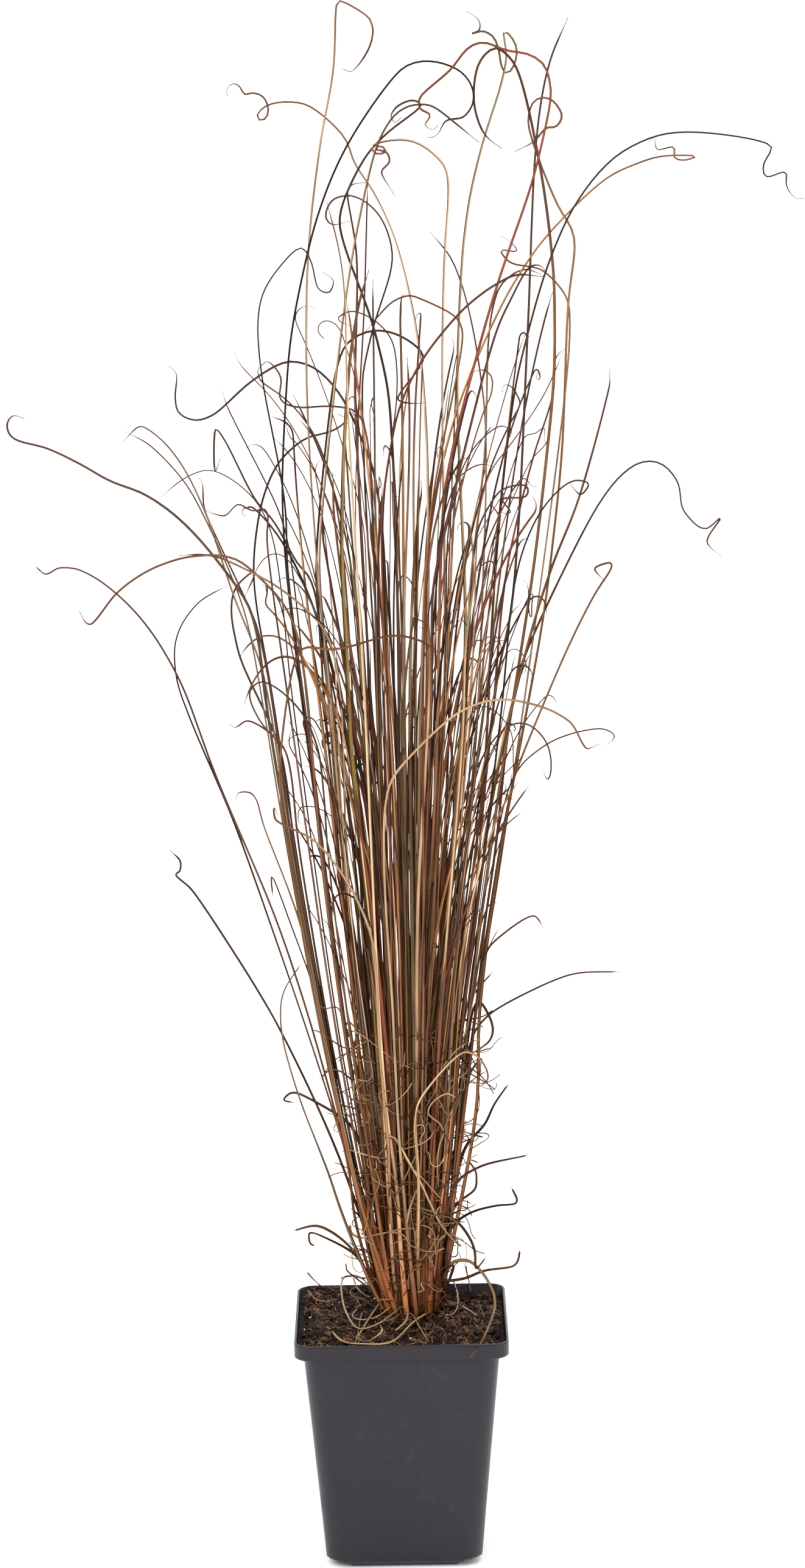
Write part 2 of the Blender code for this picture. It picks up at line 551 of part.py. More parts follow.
def settle(lines, widths, rounds=400):
    """Push leaves apart, a little each round, until each passes clear of the others."""
    places = np.vstack(lines)
    radius = np.concatenate(widths) * SECTION_REACH
    owner = np.repeat(np.arange(len(lines)), [len(line) for line in lines])
    first = np.flatnonzero(owner[:-1] == owner[1:])
    rooted = np.concatenate([np.minimum(lengths_along(line) / (20 * MM), 1) for line in lines])
    one, two = np.triu_indices(len(first), 1)
    apart = (owner[first[one]] != owner[first[two]]) | (first[two] - first[one] > 2)
    one, two = first[one[apart]], first[two[apart]]
    for _ in range(rounds):
        middle = (places[one] + places[one + 1] - places[two] - places[two + 1]) / 2
        reach = (np.linalg.norm(places[one + 1] - places[one], axis=1)
                 + np.linalg.norm(places[two + 1] - places[two], axis=1)) / 2
        close = np.linalg.norm(middle, axis=1) < reach + 5 * MM
        i, j = one[close], two[close]
        s, t = nearest_shares(places[i], places[i + 1], places[j], places[j + 1])
        s, t = s[:, None], t[:, None]
        gap = (places[i] * (1 - s) + places[i + 1] * s) - (places[j] * (1 - t) + places[j + 1] * t)
        s, t = s[:, 0], t[:, 0]
        wanted = LEAF_GAP + np.maximum(radius[i], radius[i + 1]) + np.maximum(radius[j], radius[j + 1])
        distance = np.linalg.norm(gap, axis=1)
        missing = wanted - distance
        short = missing > 0.1 * MM
        if not short.any():
            break
        i, j, s, t = i[short], j[short], s[short], t[short]
        way_apart = gap[short] / np.maximum(distance[short], 0.01 * MM)[:, None]
        push = way_apart * missing[short, None] * 0.6
        moves = np.zeros_like(places)
        counts = np.full(len(places), 1e-9)
        for index, share, way in ((i, 1 - s, 1), (i + 1, s, 1), (j, 1 - t, -1), (j + 1, t, -1)):
            np.add.at(moves, index, way * push * share[:, None])
            np.add.at(counts, index, share)
        places += moves * (rooted / np.maximum(counts, 1))[:, None]
    return np.split(places, np.cumsum([len(line) for line in lines])[:-1])


def keeled_section(guides):
    """The section of every shoot, 1 mm wide: two edges and a keel."""
    outline = bpy.data.curves.new("keeled_section", "CURVE")
    outline.dimensions = "2D"
    line = outline.splines.new("POLY")
    corners = ((-0.5, -0.18), (0.5, -0.18), (0, 0.42))
    line.points.add(len(corners) - 1)
    for point, (x, y) in zip(line.points, corners):
        point.co = (x * MM, y * MM, 0, 1)
    line.use_cyclic_u = True
    return as_guide(place(guides, "keeled_section", outline))


def closed_mesh(swept):
    """The swept curve as a mesh whose end caps are welded on, with its faces outward."""
    bpy.context.view_layer.update()
    seen = swept.evaluated_get(bpy.context.evaluated_depsgraph_get())
    mesh = bpy.data.meshes.new_from_object(seen)
    bpy.data.curves.remove(swept.data)
    work = bmesh.new()
    work.from_mesh(mesh)
    bmesh.ops.remove_doubles(work, verts=work.verts, dist=0.01 * MM)
    bmesh.ops.recalc_face_normals(work, faces=work.faces)
    work.to_mesh(mesh)
    work.free()
    return mesh


def build_shoot(parts, section, name, colour, points, widths):
    """Carry the keeled section along the leaf's line."""
    curve = bpy.data.curves.new(name, "CURVE")
    curve.dimensions = "3D"
    curve.resolution_u = 1
    curve.bevel_mode = "OBJECT"
    curve.bevel_object = section
    curve.use_fill_caps = True
    line = curve.splines.new("POLY")
    line.points.add(len(points) - 1)
    for knot, place_at, width in zip(line.points, points, widths):
        knot.co = (*place_at, 1)
        knot.radius = width / MM
    return place(parts, name, closed_mesh(place(parts, name, curve)),
                 material(name + " leaf", colour, 0.5))


def main():
    parts, guides = start_empty()
    build_pot(parts, guides)
    build_soil(parts)
    bases = planting(LEAVES)
    lines = [leaf_line(leaf, bases[leaf.name]) for leaf in LEAVES]
    widths = [leaf_widths(leaf, line) for leaf, line in zip(LEAVES, lines)]
    lines = settle(lines, widths)
    section = keeled_section(guides)
    for number, (leaf, line, width) in enumerate(zip(LEAVES, lines, widths), 1):
        build_shoot(parts, section, f"shoot_{number:02d}", leaf.colour, line, width)


main()
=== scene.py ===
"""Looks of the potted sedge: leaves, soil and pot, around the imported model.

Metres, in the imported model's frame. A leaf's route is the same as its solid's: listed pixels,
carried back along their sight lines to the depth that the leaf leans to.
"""

from collections import namedtuple
from math import cos, pi, radians, sin

import bpy
import numpy as np
from mathutils import Matrix, Vector


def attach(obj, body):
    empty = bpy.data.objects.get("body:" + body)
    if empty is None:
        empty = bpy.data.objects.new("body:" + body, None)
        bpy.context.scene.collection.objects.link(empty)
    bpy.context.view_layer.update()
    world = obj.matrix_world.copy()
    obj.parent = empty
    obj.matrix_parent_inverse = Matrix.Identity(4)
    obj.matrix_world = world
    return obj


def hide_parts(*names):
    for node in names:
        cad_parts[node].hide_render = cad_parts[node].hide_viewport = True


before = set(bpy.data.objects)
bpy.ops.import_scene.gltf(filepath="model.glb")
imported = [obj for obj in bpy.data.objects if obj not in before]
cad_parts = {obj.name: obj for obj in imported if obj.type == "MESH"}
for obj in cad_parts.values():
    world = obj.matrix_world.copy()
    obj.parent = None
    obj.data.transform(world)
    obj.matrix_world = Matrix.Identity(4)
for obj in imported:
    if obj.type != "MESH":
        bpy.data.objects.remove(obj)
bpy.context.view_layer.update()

MM = 0.001
BODY = "root"
rng = np.random.default_rng(38)

# Pot
RIM_WIDTH = 110 * MM
RIM_RADIUS = 9.5 * MM
RIM_HEIGHT = 8.5 * MM
RIM_WALL = 1.3 * MM
POT_HEIGHT = 124.3 * MM
BODY_TOP_WIDTH = 102.3 * MM
BODY_BOTTOM_WIDTH = 80.9 * MM
BODY_RADIUS = 10 * MM
POT_WALL = 1.3 * MM
EDGE_EASE = 0.6 * MM
FOOT_HALF = 27 * MM
CORNER_LIFT = 4.2 * MM

# Soil
GAP = 0.3 * MM
SOIL_EDGE = 120.3 * MM
SOIL_TOP = 121 * MM
CROWN = Vector((5.5 * MM, 16 * MM, 0))

# Grains on the soil: a small ball of three rings, each a radius and a height in half sizes
GRAIN_SIDES = 6
GRAIN_LEVELS = ((0.5, -0.75), (0.95, 0), (0.5, 0.75))
GRAIN_MARGIN = 3 * MM

# Root fibres on the soil
FIBRES = 420
FIBRE_RINGS = 12
FIBRE_SIDES = 4
FIBRE_RADIUS = 0.14 * MM
FIBRE_AREA = 50 * MM
FIBRE_MARGIN = 1.5 * MM

# Shoots stand in rows, nearest row first, each row half a place off the next
ROW_COUNTS = (4, 5, 6, 7, 8, 7, 6, 5, 4)
ROW_PITCH = 3.7 * MM
COLUMN_PITCH = 4.6 * MM
SHEATH_WIDTH = 3.3 * MM
SHEATH_LENGTH = 20 * MM
SHEATH_END = 120 * MM
TIP_SHARE = 0.42
LEAST_WIDTH = 0.75 * MM
ROUTE_TOLERANCE = 0.55 * MM
LEAF_GAP = 0.6 * MM
SECTION_REACH = 0.54

# The photograph's camera, in its own 1322 x 2576 pixels
CAMERA_PLACE = np.array((4.5 * MM, -2400 * MM, 854.6 * MM))
CAMERA_PITCH = radians(10.6)
CAMERA_ROLL = radians(0.8)
FOCAL_PIXELS = 7857
PHOTO_HEIGHT = 2576
PHOTO_MIDDLE = np.array((661, 1288))
FLOOR_SIZE = 240

# The tuft as a fan in the photograph: its middle and half width at some heights, in pixels
FAN_LEVEL = (560, 860, 1290, 1600, 1900, 2150)
FAN_MIDDLE = (633, 640, 650, 649, 662, 677)
FAN_HALF = (305, 260, 195, 144, 88, 57)
FAN_STOPS = (1950, 1700, 1400, 1150)
FAN_CLEARANCE = 130

# Leaf meshes: rings along a leaf, and how much closer they stand towards its tip
RINGS = 120
DRY_RINGS = 72
SHRED_RINGS = 44
TIP_CROWDING = 2.1

# A blade narrows to TIP_RATIO of its width, within TIP_RANGE, then ends over its last TIP_END
BLADE_SHARE = 1.18
LEAST_BLADE = 1.6 * MM
LEAST_EXTRA = 1.25 * MM
TIP_RATIO = 0.64
TIP_RANGE = (0.68 * MM, 1.08 * MM)
TIP_END = 0.02
BLADE_TIP = 0.35
TAPER_POWER = 1.7

# The blade's section, in widths: a shallow channel above, a keel below
SECTION = np.array(((-0.5, 0.24), (-0.26, 0.1), (0, 0.02), (0.26, 0.1), (0.5, 0.24), (0, -0.42)))
# how much of the painted shade at the blade's edges each point of the section takes
SECTION_EDGE_SHADE = np.array((1, 0.3, 0.0, 0.3, 1, 0.1))

# Leaf colours: shares of the length, or metres from the base where the name says reach
SHEATH_COLOUR = np.array((0.68, 0.22, 0.072))
TIP_COLOUR = np.array((0.095, 0.031, 0.011))
GREEN_COLOUR = np.array((0.30, 0.30, 0.06))
TURN_BLEND = 0.22
DRIED_START = 0.84
DRIED_BLEND = 0.13
DRIED_MOST = 0.8
GREEN_REACH = 0.12
GREEN_CHANCE = 0.06
GREEN_MOST = 0.6
SHEATH_REACH = 0.07
SHEATH_REACH_SPREAD = 0.03
SHEATH_MOST = 0.9
FULL_SHEATH_LENGTH = 0.3
# painted shade: a leaf is darker near its base, where the tuft's foot is dense; its reach in metres and its
# share
BASE_SHADE_REACH = 0.25
BASE_SHADE = 0.2
LEAST_TONE = 0.42
TONE_SPAN = 1.22
# at the fan's left and right edges, from EDGE_START of its half width, leaves are darker low down
EDGE_START = 0.4
EDGE_SHADE = 0.5

# Filler leaves stand between the traced ones, inside the fan that the photograph shows
UPRIGHTS = 200
ARCHERS = 14
SHORTS = 12
FILLER_WIDTHS = np.array((0.8, 0.9, 1.0, 1.1, 1.3, 1.6, 2.1, 2.8)) * MM
FILLER_SHEATH = 1.9 * MM
FILLER_BASE = (17 * MM, 15 * MM)
FILLER_BASE_SHARE = 0.85
EXTRA_BASE_REACH = 16 * MM
EXTRA_BASE_SPREAD = 4 * MM

# The thatch of dry curls, and the scale of the photograph at the tuft's front
SHREDS = 330
SHRED_TOP = 155 * MM
SHRED_FRONT_CHANCE = 0.45
FRONT_SQUASH = 0.85
DRAPE_GAP = 1.5 * MM
PIXEL = 0.31 * MM
SOIL_ROW = 2160
CROWN_COLUMN = 672
FAN_HEIGHT = np.array((120, 200, 300, 400, 535, 630, 800)) * MM
FAN_RADIUS = np.array((19, 27, 44, 61, 76, 86, 104)) * MM

# A leaf's colour is low, then high past the turn, as a share of its length
Hue = namedtuple("Hue", "low high turn")
TAN = Hue((0.60, 0.38, 0.21), (0.30, 0.12, 0.045), 0.92)
STRAW = Hue((0.62, 0.41, 0.20), (0.30, 0.13, 0.05), 0.88)
ORANGE = Hue((0.47, 0.20, 0.065), (0.13, 0.044, 0.02), 0.90)
RED = Hue((0.38, 0.15, 0.07), (0.21, 0.045, 0.02), 0.45)
BROWN = Hue((0.23, 0.10, 0.04), (0.12, 0.048, 0.025), 0.6)
DARK = Hue((0.20, 0.085, 0.04), (0.048, 0.020, 0.009), 0.55)
OLIVE = Hue((0.20, 0.12, 0.03), (0.08, 0.035, 0.016), 0.75)
MAUVE = Hue((0.52, 0.33, 0.21), (0.20, 0.08, 0.035), 0.75)
FILLER_HUES = (TAN, TAN, MAUVE, STRAW, ORANGE, ORANGE, ORANGE, RED, BROWN, BROWN, DARK, DARK, DARK,
               OLIVE, MAUVE)
CURL_HUES = (TAN, STRAW, ORANGE, BROWN, BROWN, DARK, TAN)

# width in mm, lean = how far the tip stands behind its base in mm, route in pixels, base first
Leaf = namedtuple("Leaf", "name width lean colour route")

LEAVES = (
    Leaf("tall_hook", 1.5, 35, TAN, (
        (522, 940), (514, 840), (509, 760), (503, 600), (503, 520), (507, 400), (516, 320),
        (525, 240), (538, 160), (546, 120), (550, 60), (551, 20), (554, 3), (560, 1), (580, 12),
        (599, 23), (608, 32), (613, 54), (608, 75), (596, 96), (582, 114), (573, 118), (563, 113))),
    Leaf("dark_arc", 1.5, -45, DARK, (
        (471, 940), (464, 800), (469, 680), (475, 580), (487, 500), (505, 420), (520, 360),
        (542, 300), (559, 260), (581, 220), (608, 180), (635, 140), (660, 113), (680, 103),
        (700, 100), (720, 102), (740, 109), (760, 120), (776, 144), (777, 170), (762, 192),
        (748, 196), (731, 200), (727, 211), (712, 225), (703, 226))),
    Leaf("upper_left_curl", 2.1, 75, MAUVE, (
        (703, 900), (700, 710), (691, 590), (676, 500), (660, 430), (642, 375), (626, 340),
        (606, 302), (582, 267), (570, 234), (557, 215), (537, 196), (508, 174), (483, 168),
        (451, 169), (431, 178), (422, 190), (428, 198), (437, 193), (440, 176), (430, 158),
        (413, 153), (402, 155), (391, 140), (381, 138), (372, 149), (374, 158))),
    Leaf("tan_right_tip", 1.9, -80, TAN, (
        (525, 940), (533, 800), (546, 680), (554, 600), (563, 535), (572, 470), (580, 410),
        (590, 360), (598, 330), (604, 297), (612, 261), (621, 234), (634, 208), (651, 186),
        (671, 174), (690, 171), (710, 174), (730, 189), (760, 214), (787, 234))),
    Leaf("s_black", 1.5, 20, DARK, (
        (652, 950), (646, 760), (637, 640), (629, 600), (613, 535), (590, 470), (575, 428),
        (562, 390), (558, 365), (562, 338), (581, 300), (598, 262), (621, 234), (648, 208),
        (676, 187), (692, 172), (680, 165), (655, 173), (642, 191), (649, 201), (659, 193))),
    Leaf("brown_arc", 2.1, -20, TAN, (
        (731, 1100), (728, 900), (726, 700), (727, 540), (731, 400), (736, 340), (733, 280),
        (720, 260), (692, 238), (668, 230), (630, 233), (610, 242), (616, 252), (634, 250),
        (625, 239), (617, 245), (635, 250), (640, 266), (627, 282), (636, 302), (648, 321))),
    Leaf("loop_top", 1.9, 60, STRAW, (
        (765, 1060), (758, 850), (752, 640), (756, 500), (761, 410), (772, 325), (785, 268),
        (797, 222), (812, 176), (826, 127), (832, 90), (828, 50), (846, 70), (849, 92),
        (841, 114), (831, 121), (823, 108), (818, 80), (809, 60), (790, 51), (773, 56),
        (787, 50), (787, 34), (766, 18))),
    Leaf("red_arc", 1.6, -70, RED, (
        (730, 810), (748, 720), (768, 640), (792, 550), (822, 450), (850, 370), (873, 300),
        (886, 250), (899, 190), (904, 150), (893, 107), (866, 89), (832, 83), (791, 70),
        (768, 80), (744, 110), (708, 144), (690, 160), (690, 179), (706, 189), (698, 206),
        (712, 213), (719, 205))),
    Leaf("straight_tip", 1.3, 95, BROWN, (
        (803, 1220), (818, 1105), (838, 1010), (850, 880), (857, 760), (864, 600), (871, 450),
        (878, 300), (883, 210), (891, 160), (905, 95), (920, 60), (933, 28))),
    Leaf("orange_thick_hook", 1.9, -35, ORANGE, (
        (823, 1270), (852, 1090), (877, 920), (897, 750), (909, 620), (909, 460), (902, 380),
        (887, 275), (866, 180), (846, 107), (828, 86), (812, 79), (798, 88), (785, 108),
        (778, 150), (782, 188), (797, 222), (824, 244))),
    Leaf("kinked_orange", 1.9, 30, ORANGE, (
        (750, 1920), (762, 1820), (781, 1700), (795, 1600), (820, 1410), (848, 1260), (873, 1130),
        (893, 1010), (907, 900), (923, 740), (930, 570), (933, 500), (942, 388), (917, 340),
        (886, 265), (867, 195), (880, 163), (903, 162), (923, 190), (913, 208), (898, 210),
        (876, 233), (845, 249))),
    Leaf("far_right_arch", 1.3, -60, DARK, (
        (797, 1250), (803, 1120), (816, 910), (834, 730), (850, 620), (878, 510), (908, 413),
        (943, 340), (980, 288), (1020, 251), (1080, 223), (1130, 217), (1200, 223), (1255, 234),
        (1267, 242), (1253, 275), (1258, 290), (1290, 283), (1292, 306), (1305, 324), (1321, 327))),
    Leaf("orange_arch", 1.6, 85, ORANGE, (
        (697, 960), (711, 845), (730, 745), (762, 640), (790, 575), (820, 508), (856, 445),
        (893, 393), (943, 340), (994, 294), (1040, 271), (1085, 257), (1143, 257), (1128, 263),
        (1108, 260), (1106, 242), (1079, 245), (1074, 226), (1065, 234))),
    Leaf("red_kink", 1.5, -150, RED, (
        (712, 960), (733, 870), (753, 780), (772, 705), (790, 640), (812, 555), (842, 487),
        (872, 438), (888, 437), (903, 455))),
    Leaf("golden_kink", 1.9, 150, STRAW, (
        (772, 960), (787, 830), (797, 720), (800, 600), (806, 520), (825, 465), (862, 443),
        (898, 455))),
    Leaf("red_slant", 1.6, -140, RED, (
        (627, 850), (638, 755), (654, 675), (683, 608), (710, 567), (748, 521), (795, 480),
        (848, 452), (895, 455))),
    Leaf("arc_fold", 1.5, 50, DARK, (
        (519, 940), (531, 780), (543, 660), (557, 590), (572, 562), (607, 544), (645, 547),
        (683, 569), (695, 588), (668, 630), (653, 656), (668, 662), (701, 662))),
    Leaf("kink_fold", 1.6, -30, ORANGE, (
        (705, 870), (725, 735), (748, 612), (759, 545), (748, 521), (715, 505), (675, 486),
        (645, 496), (614, 527), (600, 545))),
    Leaf("gray_right", 1.2, 165, MAUVE, (
        (782, 1200), (791, 1000), (797, 710), (787, 605), (768, 505), (742, 428), (706, 381))),
    Leaf("red_hook", 1.6, -60, RED, (
        (583, 640), (584, 540), (583, 480), (585, 420), (576, 350), (571, 312), (583, 301),
        (601, 300))),
    Leaf("red_straight", 1.3, 180, RED, (
        (588, 740), (594, 600), (600, 470), (604, 300))),
    Leaf("blunt_tan", 1.6, -165, TAN, (
        (570, 640), (567, 500), (558, 420), (536, 329))),
    Leaf("big_bow", 1.3, 130, DARK, (
        (595, 625), (603, 580), (621, 508), (638, 458), (644, 420), (630, 367), (605, 336),
        (575, 322), (545, 330), (535, 357), (545, 369), (567, 364), (576, 363))),
    Leaf("broad_centre", 3.6, -100, OLIVE, (
        (625, 1790), (612, 1600), (594, 1400), (576, 1220), (567, 1000), (562, 900), (567, 710),
        (577, 575), (593, 485), (606, 443))),
    Leaf("black_left_big", 1.3, -50, DARK, (
        (471, 920), (469, 840), (448, 715), (431, 625), (423, 540), (429, 490), (442, 462),
        (472, 424), (495, 407), (511, 430), (524, 475), (541, 480), (547, 460), (530, 447))),
    Leaf("long_s", 2.4, 40, OLIVE, (
        (628, 880), (613, 775), (584, 700), (556, 645), (515, 604), (475, 594), (440, 608),
        (393, 642), (350, 681), (320, 690), (294, 678), (288, 655), (289, 613), (277, 601))),
    Leaf("square_turn", 1.4, -75, BROWN, (
        (600, 710), (583, 676), (540, 668), (480, 668), (460, 655), (460, 618), (438, 594),
        (424, 606))),
    Leaf("brown_folded", 1.6, 65, BROWN, (
        (512, 958), (488, 925), (450, 858), (420, 822), (385, 753), (355, 705), (352, 735),
        (354, 774), (362, 753))),
    Leaf("far_left", 1.6, -15, OLIVE, (
        (412, 1005), (355, 920), (300, 858), (240, 814), (180, 790), (130, 762), (62, 731),
        (20, 719), (11, 698), (22, 683), (40, 688))),
    Leaf("left_dark_hook", 1.6, 25, TAN, (
        (430, 1100), (399, 1020), (370, 940), (338, 845), (302, 770), (265, 723), (230, 701),
        (210, 718), (200, 728))),
    Leaf("wavy_black", 1.3, -85, DARK, (
        (447, 960), (439, 885), (437, 838), (415, 839), (391, 829), (370, 847), (335, 838))),
    Leaf("black_stem_left", 1.3, 90, DARK, (
        (417, 960), (420, 880), (433, 815), (458, 760), (500, 722), (545, 708), (568, 690),
        (555, 680))),
    Leaf("left_dark_arch", 1.3, -40, DARK, (
        (497, 1640), (455, 1515), (405, 1395), (347, 1255), (303, 1135), (250, 1040), (190, 974),
        (130, 936), (92, 934), (75, 943), (59, 931), (67, 937))),
    Leaf("left_thin_arch", 1.3, -70, BROWN, (
        (480, 1020), (425, 948), (380, 916), (310, 915), (250, 934), (193, 973), (168, 1005),
        (146, 1026), (130, 1004))),
    Leaf("black_hook_left", 1.3, 150, DARK, (
        (460, 1230), (420, 1140), (394, 1078), (380, 1000), (388, 965), (418, 939), (402, 980))),
    Leaf("loop_left", 1.4, -140, DARK, (
        (520, 1225), (485, 1158), (430, 1120), (411, 1135), (420, 1172), (462, 1225))),
    Leaf("low_orange_arc", 1.6, -150, ORANGE, (
        (460, 1290), (467, 1200), (480, 1105), (498, 1066), (545, 1067), (600, 1058), (640, 1045),
        (690, 1053), (722, 1073))),
    Leaf("left_low", 1.4, 15, BROWN, (
        (550, 1900), (515, 1815), (460, 1690), (415, 1613), (357, 1524), (316, 1463), (288, 1435),
        (293, 1435), (296, 1415), (279, 1397))),
    Leaf("tan_curl_left", 1.6, -90, TAN, (
        (500, 1540), (470, 1450), (433, 1355), (415, 1305), (392, 1303), (387, 1314))),
    Leaf("curl_knot", 1.5, -120, TAN, (
        (610, 1540), (563, 1438), (512, 1378), (452, 1345), (450, 1327), (457, 1338))),
    Leaf("black_short", 1.3, 120, DARK, (
        (520, 1640), (500, 1580), (460, 1472), (446, 1440), (448, 1474))),
    Leaf("outer_left", 1.3, -60, TAN, (
        (575, 2030), (540, 1930), (487, 1790), (462, 1690), (465, 1632), (495, 1582))),
    Leaf("orange_right", 1.6, 20, ORANGE, (
        (842, 1285), (865, 1225), (900, 1138), (940, 1047), (985, 960), (1005, 926), (977, 934),
        (994, 955))),
    Leaf("right_long_arc", 1.2, -150, TAN, (
        (640, 1290), (680, 1240), (720, 1197), (760, 1167), (800, 1152), (840, 1150), (900, 1165),
        (940, 1190), (965, 1230), (984, 1222))),
    Leaf("right_arch", 1.3, 80, BROWN, (
        (842, 1280), (890, 1228), (940, 1205), (992, 1198), (1009, 1209), (998, 1223))),
    Leaf("right_straight", 2.4, -25, ORANGE, (
        (808, 1320), (832, 1210), (868, 1055), (905, 935), (945, 835), (975, 725), (1001, 630),
        (1001, 606))),
    Leaf("right_zigzag", 1.2, 45, DARK, (
        (850, 1115), (895, 1005), (945, 900), (1005, 798), (1050, 761), (1083, 761), (1112, 790),
        (1121, 835), (1157, 869), (1184, 850), (1161, 890), (1184, 913))),
    Leaf("circle_tip", 1.3, -90, DARK, (
        (845, 960), (868, 880), (900, 824), (942, 790), (966, 795), (953, 812), (936, 795))),
    Leaf("red_orange", 1.6, 75, RED, (
        (828, 960), (852, 840), (877, 745), (908, 645), (913, 587), (931, 571))),
    Leaf("black_loop_right", 1.3, -115, DARK, (
        (783, 880), (800, 838), (825, 805), (865, 799), (865, 815), (825, 821), (838, 842),
        (815, 842))),
    Leaf("right_low_arch", 1.4, 30, DARK, (
        (775, 1705), (803, 1667), (860, 1634), (940, 1600), (1018, 1596))),
    Leaf("golden_arc", 1.6, -105, STRAW, (
        (687, 1815), (720, 1770), (762, 1729), (788, 1740), (801, 1772), (786, 1787))),
)

EXTRA_LEAVES = (
    Leaf("curl_mauve", 1.2, 60, MAUVE, (
        (935, 560), (932, 495), (917, 469), (886, 442), (838, 431), (823, 412), (849, 412),
        (838, 397), (823, 388))),
    Leaf("thin_loop", 1.0, -70, DARK, (
        (629, 850), (641, 730), (651, 655), (646, 566), (620, 530), (577, 511), (555, 524),
        (580, 537))),
    Leaf("thin_brown", 1.1, 60, BROWN, (
        (560, 880), (535, 760), (505, 697), (470, 657), (428, 625), (424, 607), (436, 595))),
    Leaf("thin_dark", 1.0, -40, DARK, (
        (468, 870), (437, 795), (400, 720), (371, 662), (364, 641))),
    Leaf("gray_left", 1.1, -60, MAUVE, (
        (400, 1000), (350, 880), (305, 795), (245, 731), (205, 709))),
    Leaf("dark_red_left", 1.2, 70, RED, (
        (425, 1040), (390, 955), (360, 890), (336, 835), (331, 790), (326, 784))),
    Leaf("thin_left_loops", 1.0, 50, DARK, (
        (440, 860), (400, 803), (345, 773), (305, 785), (264, 817))),
    Leaf("thin_twin", 1.1, 60, DARK, (
        (487, 1640), (445, 1520), (380, 1340), (330, 1225), (288, 1105), (292, 1040), (328, 988),
        (375, 962))),
    Leaf("tan_brown", 1.3, -50, TAN, (
        (540, 1050), (470, 975), (412, 940), (345, 913), (293, 913))),
    Leaf("small_left", 1.6, 60, BROWN, (
        (468, 1232), (440, 1201), (405, 1184), (384, 1195), (376, 1190))),
    Leaf("gray_straight", 1.0, -60, MAUVE, (
        (797, 797), (847, 718), (898, 640), (925, 578))),
    Leaf("low_black", 1.0, 70, DARK, (
        (720, 900), (738, 820), (757, 782), (790, 763), (813, 768))),
    Leaf("black_knee", 1.1, -70, DARK, (
        (740, 840), (768, 752), (800, 713), (825, 700), (841, 711), (832, 722))),
    Leaf("right_small", 1.8, -40, DARK, (
        (800, 1563), (840, 1525), (877, 1505), (892, 1525))),
    Leaf("tan_small", 1.6, 40, TAN, (
        (760, 1675), (780, 1632), (810, 1596))),
    Leaf("black_bow", 2.1, 50, DARK, (
        (785, 1645), (808, 1682), (806, 1706), (782, 1728), (811, 1720))),
    Leaf("black_slant", 2.3, 20, DARK, (
        (748, 1950), (765, 1885), (797, 1846), (812, 1815), (836, 1780))),
    Leaf("brown_slant", 2.2, -20, BROWN, (
        (745, 1950), (787, 1917), (845, 1901), (868, 1897))),
    Leaf("black_twig", 2.0, 10, DARK, (
        (746, 1984), (780, 1952), (781, 1925), (770, 1906), (788, 1911))),
    Leaf("black_wave", 2.3, -30, DARK, (
        (740, 2020), (775, 1992), (815, 1981), (848, 1975), (840, 1951))),
    Leaf("black_low", 2.0, -40, DARK, (
        (745, 2005), (765, 2023), (779, 2052), (782, 2083), (798, 2066))),
    Leaf("low_left_twig", 2.1, 10, BROWN, (
        (585, 2060), (550, 2027), (520, 2014), (483, 2022))),
    Leaf("low_left_twin", 2.1, -30, DARK, (
        (587, 2065), (555, 2044), (508, 2026), (509, 2042), (517, 2047))),
    Leaf("left_wave", 2.0, 20, DARK, (
        (580, 1855), (535, 1821), (480, 1795), (466, 1807), (484, 1812))),
    Leaf("over_rim", 2.0, -81, TAN, (
        (740, 2077), (770, 2071), (800, 2101), (813, 2138), (803, 2178), (788, 2210), (770, 2232))),
    Leaf("right_upcurl", 2.2, -30, BROWN, (
        (745, 2076), (728, 2100), (760, 2100), (795, 2087), (846, 2077), (854, 2053))),
    Leaf("golden_twin", 1.7, -120, STRAW, (
        (760, 1200), (765, 1060), (772, 1000), (778, 940), (772, 860))),
    Leaf("olive_twin", 2.6, -90, OLIVE, (
        (650, 1700), (640, 1500), (628, 1300), (623, 1000), (622, 900), (628, 800))),
)

